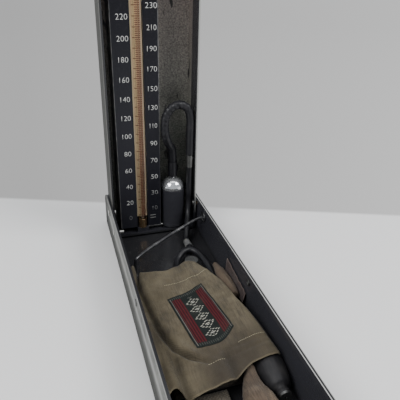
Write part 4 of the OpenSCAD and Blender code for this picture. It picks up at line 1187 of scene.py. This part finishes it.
@dataclass
class Hoses:
    """The loop hose, the hose down to the case and the tubes that lie in it."""

    finishes: Finishes
    loop_r: float = 4.6
    hose_r: float = 3.4
    loop: tuple[Point, ...] = (
        (23.5, 146.2, 85.8), (22.5, 144, 101), (18, 140, 109), (14, 137, 119), (13, 137, 131),
        (15, 137, 142), (21, 137, 150), (30, 137, 152.5), (38, 137, 147.5), (41, 137, 137),
        (41, 137, 120), (41, 137, 96))
    air: tuple[Point, ...] = (
        (41, 137, 81.5), (40.6, 137, 66), (40.6, 137, 50), (40.4, 137, 37), (39.3, 134, 28),
        (37, 128, 22), (33.5, 118, 17), (30.5, 110, 11.5), (28.4, 105, 8.2), (28, 101, 7))
    to_valve: tuple[Point, ...] = (
        (28, 90, 7), (27, 85, 6.3), (23, 74, 6.3), (19.5, 65, 6.8), (19, 57, 7.5))
    to_bladder: tuple[Point, ...] = (
        (19, 46, 7.5), (18.4, 37, 10), (15.4, 30, 14.6), (14, 22.3, 17.7))
    to_bulb: tuple[Point, ...] = (
        (4, 22.3, 16.9), (4, 32, 13.4), (4, 38, 11.6), (4, 48, 9.5), (5, 57, 8), (9, 67, 9.5),
        (16.6, 72.8, 13.6), (24.4, 73.8, 14), (30, 68.5, 13), (33.6, 58, 11.5), (35.5, 46, 9.5),
        (35.8, 32, 7.5), (35.6, 14, 6.3), (36, -6, 6.3), (36.2, -20, 8.4), (36.2, -29, 14.3),
        (36.2, -34, 15.5))

    def build(self) -> None:
        """Builds each hose and dresses its fittings."""
        self._loop()
        self._air()
        self._lying()
        dress(["hose_sleeve"], self.finishes.plain(HOSE_RUBBER))
        dress(["valve_body"], self.finishes.plain(NICKEL))
        dress(["slip_socket", "slip_plug", "valve_thumbscrew"], self.finishes.plain(WALL_METAL))
        dress(["hose_coupler"], self.finishes.plain(COUPLING))
        LOG.info("hoses: loop, air hose and three lying tubes")

    @staticmethod
    def length(line: Sequence[Vector]) -> float:
        """Returns a line's length in metres."""
        return sum((b - a).length for a, b in zip(line, line[1:]))

    def _loop(self) -> None:
        """Builds the thick wrinkled hose that loops over in the lid."""
        line = curve_through(self.loop, 14)

        def radius(t: float, angle: float) -> float:
            """Wrinkles round the bend, deepest inside it."""
            bend = math.sin(math.pi * min(1.0, t * 1.15)) ** 2
            folds = 0.5 + 0.5 * math.sin(t * 190 + 1.6 * math.sin(angle * 2 + t * 23))
            lump = noise.noise(Vector((t * 26, math.cos(angle) * 1.4, math.sin(angle) * 1.4)))
            return (self.loop_r - 0.55 * bend * folds + 0.28 * lump * bend) * MM

        hose = tube("loop_hose_rubber", line, radius, side=BACK, sides=28, first=UP, last=DOWN)
        paint(hose, self.finishes.plain(HOSE_RUBBER), Slot.RUBBER)
        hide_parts("loop_hose")
        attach(hose, Body.LID.value)
        tuple(line[0])

    def _air(self) -> None:
        """Builds the hose that bends between the lid and the case."""
        line = curve_through(self.air, 10)
        hose = tube("air_hose_rubber", line, lambda t, a: self.hose_r * MM, side=RIGHT, sides=20,
                    first=DOWN, last=FRONT)
        paint(hose, self.finishes.plain(HOSE_RUBBER), Slot.RUBBER)
        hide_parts("air_hose")
        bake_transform(hose)
        tuple(line[0])

    def _lying(self) -> None:
        """Builds the three tubes that lie in the case."""
        for name, node, points, r, first in (
                ("valve_feed_rubber", "cuff_tube", self.to_valve, self.hose_r, FRONT),
                ("bladder_feed_rubber", "valve_tube", self.to_bladder, self.hose_r * 0.9, FRONT),
                ("bulb_feed_rubber", "bulb_tube", self.to_bulb, self.hose_r, BACK)):
            line = curve_through(points, 8)
            hose = tube(name, line, lambda t, a, r=r: r * MM, side=UP, sides=18,
                        first=first, last=FRONT)
            paint(hose, self.finishes.plain(HOSE_RUBBER), Slot.RUBBER)
            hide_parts(node)
            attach(hose, Body.CASE.value)
            if node == "bulb_tube":
                tuple(line[0])


@dataclass
class Bail:
    """The wire across the case, with the rings on the right wall."""

    finishes: Finishes
    wire_r: float = 1.7
    route: tuple[Point, ...] = (
        (48.3, 110, 29.5), (45, 110.3, 29), (37.4, 108.1, 28), (25.7, 101.6, 27),
        (13.8, 94.8, 26), (-4.7, 82.6, 25), (-20.2, 72.2, 24), (-34.1, 61.4, 22.5),
        (-36.2, 60, 19), (-36.5, 59, 12), (-36.5, 58.5, 2.9))

    def build(self) -> None:
        """Builds the wire and the rings on the plate and the right rivet."""
        line = curve_through(self.route, 8)
        wire = tube("bail_wire_steel", line, lambda t, a: self.wire_r * MM, side=BACK, sides=16,
                    first=LEFT, last=DOWN)
        paint(wire, self.finishes.plain(WIRE), Slot.BLACK)
        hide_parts("bail_wire")
        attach(wire, Body.CASE.value)
        for name, x, y, z, big, thin in (
                ("bail_plate_ring", 48.3, 106.0, 33.0, 5.0, 0.55),
                ("right_rivet_ring", 48.7, -21.5, 36.8, 2.3, 0.5)):
            deselect()
            bpy.ops.mesh.primitive_torus_add(
                location=(x * MM, y * MM, z * MM),
                rotation=(0, math.pi / 2, 0), major_radius=big * MM, minor_radius=thin * MM,
                major_segments=48, minor_segments=12)
            ring = settle(bpy.context.object, name)
            smooth(ring, angle=80)
            paint(ring, self.finishes.plain(WALL_METAL), Slot.NICKEL)
            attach(ring, Body.CASE.value)
        LOG.info("bail: wire and rings")


# ---------------------------------------------------------------- cuff


@dataclass
class Cuff:
    """The folded cuff with its label, rolls, turned-up edge, tail and strap."""

    finishes: Finishes
    inner_x: float = 49.5
    rear: tuple[tuple[float, float], ...] = (
        (0.0, 38.0), (0.15, 37.0), (0.29, 35.2), (0.4, 33.2), (0.485, 32.5), (0.6, 33.6),
        (0.71, 35.6), (0.85, 37.6), (0.94, 38.4), (1.0, 37.0))
    front: tuple[tuple[float, float], ...] = (
        (0.0, -103.0), (0.03, -104.0), (0.07, -101.5), (0.105, -100.8), (0.125, -104.0),
        (0.15, -112.0), (0.23, -112.0), (0.32, -110.0), (0.4, -109.6), (0.48, -109.3),
        (0.57, -107.5), (0.62, -105.2), (0.67, -102.0), (0.74, -98.6), (0.85, -97.8),
        (1.0, -97.0))
    left: tuple[tuple[float, float], ...] = (
        (0.0, 12.5), (0.12, 7.5), (0.25, 4.6), (0.5, 4.0), (1.0, 3.5))
    right: tuple[tuple[float, float], ...] = (
        (0.0, 32.5), (0.06, 28.0), (0.13, 23.0), (0.27, 17.2), (0.375, 15.6), (0.49, 14.3),
        (0.62, 10.7), (0.76, 8.3), (1.0, 5.2))
    crease: tuple[tuple[float, float], ...] = (
        (-90.0, -7.0), (-84.0, -13.5), (-77.6, -20.4), (-64.0, -29.2), (-50.0, -33.8),
        (-39.0, -36.2), (-12.0, -39.0), (10.0, -41.0))
    front_valley: tuple[tuple[float, float], ...] = ((-100.0, 5.3), (-85.0, 6.3), (-60.0, 4.0))
    label: tuple[tuple[float, float], ...] = (
        (-21.5, -9.5), (13.0, 1.5), (21.0, -60.0), (-13.5, -72.0))

    def build(self) -> None:
        """Builds each piece of the cuff."""
        self._top()
        self._stitches()
        self._label()
        self._rolls()
        self._fold()
        self._tail()
        self._lower()
        LOG.info("cuff: top, label, rolls, fold, tail, strap and lower layers")

    def flat_place(self, u: float, v: float) -> tuple[float, float]:
        """Returns x and y in millimetres of a place on the top sheet."""
        x0 = look_up(v, self.left) - self.inner_x
        x1 = self.inner_x - look_up(v, self.right)
        x = x0 + (x1 - x0) * u
        return x, look_up(u, self.rear) + (look_up(u, self.front) - look_up(u, self.rear)) * v

    def crease_at(self, x: float, y: float) -> float:
        """Returns how far right of the long crease a place lies, in millimetres."""
        return x - look_up(y, self.crease)

    def height(self, x: float, y: float) -> float:
        """Returns the top sheet's height in millimetres at a place."""
        z = 20.5 + 5.5 * ease((x + 46) / 50)
        z += 4.4 * hump(x - 36.2, 15) * ease((20 - y) / 60)
        z += 0.7 * math.sin(math.radians(x * 9 + 40)) * ease((y - 2) / 30)
        z += 0.6 * math.sin(math.radians(x * 8 + 10)) * ease((-72 - y) / 35)
        open_ = ease((y + 92) / 16)
        d = self.crease_at(x, y)
        z -= 3.0 * hump(d, 2.0) * open_
        z += (1.5 * ease(d / 3.0 + 0.3) - 1.2) * open_
        z += 0.9 * hump(d - 5.0, 3.5) * open_
        z -= 2.0 * hump(x - look_up(y, self.front_valley), 3.4) * ease((-66 - y) / 22)
        z += 1.2 * hump(x - look_up(y, self.front_valley) + 8.5, 4.5) * ease((-70 - y) / 22)
        z -= 2.4 * hump(x + 31.4, 3.6) * ease((-58 - y) / 24)
        z += 1.5 * hump(x + 38.8, 3.2) * ease((-56 - y) / 24)
        z -= 1.5 * hump(x - 0.5 - (30 - y) * 0.05, 3.0) * ease((y - 14) / 16)
        z += 1.0 * hump(x - 7.5 + (30 - y) * 0.1, 4.0) * ease((y - 6) / 22)
        z += 0.8 * noise.noise(Vector((x / 13, y / 17, 0.3)))
        z += 0.4 * noise.noise(Vector((x / 4.5, y / 6.5, 4.1)))
        for at_y, tilt in ((-88.0, 0.10), (-80.5, 0.04)):
            z -= 0.45 * hump(y - at_y - tilt * x, 1.6) * ease((x + 5) / 20)
        return min(30.6, z)

    def _top(self) -> None:
        """Builds the cotton sheet on top, with its folds and its long crease."""

        def place(u: float, v: float) -> Vector:
            """The sheet's point at u and v."""
            x, y = self.flat_place(u, v)
            drop = 1.3 * hump(u, 0.012) + 1.3 * hump(1 - u, 0.010) + 0.9 * hump(v, 0.006) \
                + 0.9 * hump(1 - v, 0.006)
            return Vector((x, y, self.height(x, y) - drop)) * MM

        def fold(u: float, v: float) -> float:
            """How deep a place lies in the painted shade of a fold."""
            x, y = self.flat_place(u, v)
            deep = hump(self.crease_at(x, y) + 1.1, 1.5) * ease((y + 92) / 16)
            deep *= 0.3 + 0.7 * ease((-8 - y) / 30)
            deep = max(deep, 0.55 * hump(x - look_up(y, self.front_valley), 3.2)
                       * ease((-74 - y) / 18))
            deep = max(deep, 0.6 * hump(x + 31.2, 2.6) * ease((-62 - y) / 20))
            deep = max(deep, 0.5 * hump(x - 0.5, 2.2) * ease((y - 16) / 14))
            return min(1.0, deep)

        top = sheet_piece("cuff_top_cotton", place, nu=110, nv=170, size=(0.090, 0.150),
                          thick=0.9 * MM, fold=fold, edge_width=0.009)
        paint(top, self.finishes.cloth(KHAKI), Slot.COTTON)
        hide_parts("cuff_top")
        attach(top, Body.CASE.value)

    def _stitches(self) -> None:
        """Sews short stitches in rows: inside both ends and across the front."""
        points: list[Vector] = []
        faces: list[tuple[int, ...]] = []
        rows = [[(u, 0.172 - 0.045 * ease((u - 0.74) / 0.25))
                 for u in self._steps(0.33, 0.985, 32)],
                [(u, 0.838) for u in self._steps(0.72, 0.985, 15)],
                [(u, 0.86) for u in self._steps(0.40, 0.56, 8)]]
        for row in rows:
            for (u0, v0), (u1, v1) in zip(row, row[1:]):
                a = self._on_top(u0 + (u1 - u0) * 0.2, v0)
                b = self._on_top(u0 + (u1 - u0) * 0.85, v0 + (v1 - v0) * 0.6)
                way = (b - a).normalized()
                wide = way.cross(UP).normalized() * 0.22 * MM
                start = len(points)
                for t, rise in ((0.0, -0.1), (0.25, 0.22), (0.75, 0.22), (1.0, -0.1)):
                    mid = a.lerp(b, t) + Vector((0, 0, rise * MM))
                    points += [mid - wide, mid + Vector((0, 0, 0.14 * MM)), mid + wide,
                               mid - Vector((0, 0, 0.14 * MM))]
                for i in range(3):
                    for k in range(4):
                        p, q = start + 4 * i, start + 4 * (i + 1)
                        faces.append((p + k, p + (k + 1) % 4, q + (k + 1) % 4, q + k))
                faces.append((start + 3, start + 2, start + 1, start))
                faces.append((start + 12, start + 13, start + 14, start + 15))
        thread = mesh_piece("cuff_stitches", points, faces)
        recalc(thread)
        paint(thread, self.finishes.plain(STITCH), Slot.COTTON)
        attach(thread, Body.CASE.value)

    @staticmethod
    def _steps(low: float, high: float, count: int) -> list[float]:
        """Returns evenly spaced values."""
        return [low + (high - low) * i / count for i in range(count + 1)]

    def _on_top(self, u: float, v: float) -> Vector:
        """Returns a point on the top sheet's upper face."""
        x, y = self.flat_place(u, v)
        return Vector((x, y, self.height(x, y))) * MM

    def label_place(self, u: float, v: float) -> tuple[float, float]:
        """Returns x and y in millimetres of a place on the label."""
        (ax, ay), (bx, by), (cx, cy), (dx, dy) = self.label
        x = (ax + (bx - ax) * u) * (1 - v) + (dx + (cx - dx) * u) * v
        y = (ay + (by - ay) * u) * (1 - v) + (dy + (cy - dy) * u) * v
        bow = (3.0 + 3.5 * v) * math.sin(math.pi * u)
        return x + 0.14 * bow, y - bow

    def _label(self) -> None:
        """Builds the woven label with its bands, frame and lozenges."""

        def place(u: float, v: float) -> Vector:
            """The label's point at u and v."""
            x, y = self.label_place(u, v)
            puff = 0.35 * (1 - hump(u, 0.05)) * (1 - hump(1 - u, 0.05)) \
                * (1 - hump(v, 0.03)) * (1 - hump(1 - v, 0.03))
            return Vector((x, y, self.height(x, y) + 0.35 + puff)) * MM

        label = sheet_piece("cuff_label_woven", place, nu=60, nv=100, size=(0.036, 0.064),
                            thick=0.45 * MM)
        paint(label, self._label_weave(), Slot.LABEL)
        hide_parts("cuff_label")
        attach(label, Body.CASE.value)

    def _label_weave(self) -> bpy.types.Material:
        """Makes the label's weave: dark middle, maroon side bands and pale lozenges."""
        material, g, shader = self.finishes.start("label_weave")
        uv = g.node("ShaderNodeUVMap", uv_map="flat").outputs[0]
        at = g.parts(uv)
        weave = self.finishes.weave(g, uv, 1300.0)
        x = g.minus(at[0], 0.018)
        side = g.math("ABSOLUTE", x)
        end = g.math("ABSOLUTE", g.minus(at[1], 0.032))
        maroon = g.times(g.band(side, 0.0118, 0.0034, 0.0003), g.ramp(end, 0.0272, 0.0268))
        ribs = g.ramp(g.math("SINE", g.times(side, 3000.0)), -0.5, 0.5, 0.0, 1.0)
        frame_line = g.times(g.band(side, 0.0162, 0.0002, 0.00015), g.ramp(end, 0.0302, 0.0300))
        end_ribs = g.times(g.band(end, 0.0290, 0.0012, 0.0003),
                           g.ramp(g.math("SINE", g.times(side, 3600.0)), 0.1, 0.7))
        cell = g.minus(g.math("FRACT", g.math("DIVIDE", at[1], 0.0096)), 0.5)
        reach = g.math("ADD", g.math("DIVIDE", side, 0.0078),
                       g.times(g.math("ABSOLUTE", cell), 2.0))
        lozenge = g.times(g.band(reach, 0.80, 0.09, 0.03), g.ramp(end, 0.0243, 0.0240))
        centre = g.times(g.ramp(reach, 0.38, 0.34), g.ramp(end, 0.0243, 0.0240))
        stitched = g.ramp(g.math("SINE", g.times(at[1], 4300.0)), -0.3, 0.2)
        pale = g.times(g.math("MAXIMUM", lozenge, centre), stitched)
        colour_frame = g.times(frame_line, g.ramp(weave[1], 0.3, 0.6, 0.25, 0.7))
        colour = g.blend(maroon, (0.009, 0.012, 0.011), (0.078, 0.008, 0.011))
        colour = g.blend(g.times(maroon, g.minus(1.0, ribs)), colour, (0.022, 0.006, 0.008))
        colour = g.blend(g.times(end_ribs, 0.6), colour, (0.075, 0.08, 0.07))
        colour = g.blend(colour_frame, colour, (0.22, 0.20, 0.18))
        colour = g.blend(g.times(pale, 0.9), colour, (0.44, 0.43, 0.37))
        colour = g.blend(g.ramp(weave[1], 0.5, 0.8, 0.0, 0.4), colour, (0.06, 0.05, 0.04))
        g.feed(shader.inputs["Base Color"], colour)
        g.fill(shader, {"Roughness": 0.8, "Specular IOR Level": 0.2})
        self.finishes.bumped(g, shader, weave[0], 0.0003)
        return material

    def _roll(self, name: str, node: str, points: Sequence[Point], radii: Sequence[float],
              cloth: Cloth, slot: Slot, flat: float = 1.0, folds: float = 0.35) -> None:
        """Builds a roll of folded cloth with lengthwise folds.

        Args:
            name: The piece's name.
            node: The CAD node that it replaces.
            points: Its route, in millimetres.
            radii: Its radius at each point, in millimetres.
            cloth: Its finish.
            slot: Its slot in the record; not used.
            flat: Its height as a share of its width.
            folds: How strongly it is folded, 0 to 1.
        """
        line = curve_through(points, 12)
        along = spread(radii, 12)

        def radius(t: float, angle: float) -> float:
            """The roll's radius, drawn in along its folds."""
            i = min(len(along) - 1, int(round(t * (len(along) - 1))))
            r = along[i]
            wave = noise.noise(Vector((math.cos(angle) * 1.7, math.sin(angle) * 1.7, t * 3.5)))
            seam = hump(math.sin((angle - 1.1) / 2) * 3, 0.22)
            r *= 1 - 0.06 * folds + folds * 0.22 * min(0.0, wave) - 0.10 * seam
            return max(0.4, r) * MM

        roll = tube(name, line, radius, side=UP, sides=36, first=FRONT, last=FRONT, flat=flat)
        leave_unmarked(roll)
        paint(roll, self.finishes.cloth(cloth), slot)
        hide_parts(node)
        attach(roll, Body.CASE.value)

    def _rolls(self) -> None:
        """Builds the rolls along both walls."""
        x = self.inner_x
        self._roll("left_roll_cotton", "cuff_roll_left",
                   [(8.5 - x, 51.5, 19.2), (8.4 - x, 49.5, 19.3), (7.6 - x, 41, 17.8),
                    (6.9 - x, 32, 15.1), (6.4 - x, 22, 12.1), (6.1 - x, 5, 11),
                    (6 - x, -20, 10.8), (6 - x, -60, 10.4), (6 - x, -90, 10.2),
                    (6 - x, -97, 10.2)],
                   [1.8, 3.6, 4, 3.9, 4.2, 4.5, 4.7, 4.7, 4.6, 3], ROLL_CLOTH, Slot.COTTON)
        self._roll("right_roll_cotton", "cuff_roll_right",
                   [(x - 10.3, 37.5, 17.4), (x - 10.2, 35.8, 17.4), (x - 9.9, 31, 17.4),
                    (x - 9.5, 12, 17.6), (x - 9, -14, 18)],
                   [2.6, 4.9, 5.7, 5.6, 4.3], TAIL_CLOTH, Slot.BROWN)

    def _fold(self) -> None:
        """Builds the turned-up edge that leans on the right wall."""

        def place(u: float, v: float) -> Vector:
            """The fold's point, u up the wall and v forwards."""
            foot, high = 2.4 + 1.2 * v, 1.1
            low_z, top_z = 11 + 3 * v, 29.5 - 6 * v
            curl = 0.7 * math.sin(v * 17) * u + 0.5 * noise.noise(Vector((u * 3, v * 6, 1.0)))
            return Vector((self.inner_x - (foot + (high - foot) * u) - 0.5 - 0.6 * abs(curl),
                           28 - 48 * v, low_z + (top_z - low_z) * u + 0.4 * curl)) * MM

        fold = sheet_piece("right_fold_cotton", place, nu=24, nv=60, size=(0.019, 0.050),
                           thick=0.7 * MM, edge_width=0.02)
        paint(fold, self.finishes.cloth(FOLD_CLOTH), Slot.BROWN)
        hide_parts("cuff_fold")
        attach(fold, Body.CASE.value)

    def _tail(self) -> None:
        """Builds the rolled tail of the cuff in front."""
        self._roll("tail_roll_cotton", "cuff_tail",
                   [(20.8, -90, 20.6), (20.2, -97, 20), (17.6, -106, 17.8), (16.6, -117, 15.8),
                    (16.8, -136, 14.8), (16, -148, 14), (15.5, -154, 13)],
                   [2, 4.8, 8.6, 12.7, 13.2, 9.3, 3.6], TAIL_CLOTH, Slot.BROWN,
                   flat=0.8, folds=1.0)

    def _lower(self) -> None:
        """Builds the lower layers, the bladder and the strap."""
        x = self.inner_x
        for name, node, low, high, rise, slot, ripple in (
                ("cuff_lower_layers", "cuff_under", (12.5 - x, -98, 2.8), (x - 27, 29, 10),
                 (0.0, 4.5), Slot.COTTON, 0.5),
                ("bladder_folded", "bladder", (13.5 - x, -84, 10.4), (x - 28.5, 22, 16.8),
                 (4.5, 5.0), Slot.RUBBER, 0.5),
                ("strap_webbing", "cuff_strap", (18.5 - x, -168, 2.8), (x - 48, -99.5, 8),
                 (0.0, 0.0), Slot.WEBBING, 0.25)):
            piece = slab_piece(name, low, high, rise, nu=30, nv=50, ripple=ripple)
            material = (self.finishes.plain(BLADDER_RUBBER) if slot is Slot.RUBBER
                        else self.finishes.cloth(WEBBING if slot is Slot.WEBBING else UNDER_CLOTH))
            paint(piece, material, slot)
            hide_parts(node)
            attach(piece, Body.CASE.value)


@dataclass
class Bulb:
    """The inflation bulb and the fittings in its necks."""

    finishes: Finishes
    x: float = 36.2
    y: float = -79.0
    z: float = 15.5
    half: float = 39.0
    neck: float = 5.0
    neck_l: float = 5.0
    big: float = 12.6

    def build(self) -> None:
        """Turns the bulb as one closed skin and dresses its fittings."""
        line, radii = [], []
        count, whole = 72, self.half + self.neck_l
        for i in range(count + 1):
            t = -1 + 2 * i / count
            line.append(Vector((self.x, self.y + t * whole, self.z)) * MM)
            reach = abs(t) * whole / self.half
            swell = max(0.0, 1 - reach ** 2) ** 0.38 if reach < 1 else 0.0
            bead = 0.5 * hump(abs(t) * whole - self.half - self.neck_l + 1.2, 0.9)
            radii.append(self.neck - 0.3 + (self.big - self.neck + 0.2) * swell + bead)

        def radius(t: float, angle: float) -> float:
            """The bulb's radius with its mould seam and shallow ribs."""
            r = radii[min(count, int(round(t * count)))]
            seam = 0.12 * hump(math.sin(angle), 0.05)
            ribs = 0.10 * math.sin(angle * 16) * math.sin(math.pi * t) ** 2
            return (min(r + seam + ribs, self.big)) * MM

        skin = tube("bulb_skin", line, radius, side=UP, sides=64, first=BACK, last=BACK)
        paint(skin, self.finishes.plain(BULB_RUBBER), Slot.BULB)
        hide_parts("bulb")
        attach(skin, Body.CASE.value)
        dress(["bulb_inlet_valve", "bulb_outlet"], self.finishes.plain(WALL_METAL))
        LOG.info("bulb: skin and fittings")


def main() -> None:
    """Builds the studio and each sub-assembly in order."""
    logging.basicConfig(level=logging.INFO, format="%(name)s: %(message)s")
    Studio().build()
    finishes = Finishes()
    Hoses(finishes).build()
    Bail(finishes).build()
    SheetSteel(finishes).build()
    ScalePanel(finishes).build()
    TubeAndReservoir(finishes).build()
    Cuff(finishes).build()
    Bulb(finishes).build()


if __name__ == "__main__":
    main()
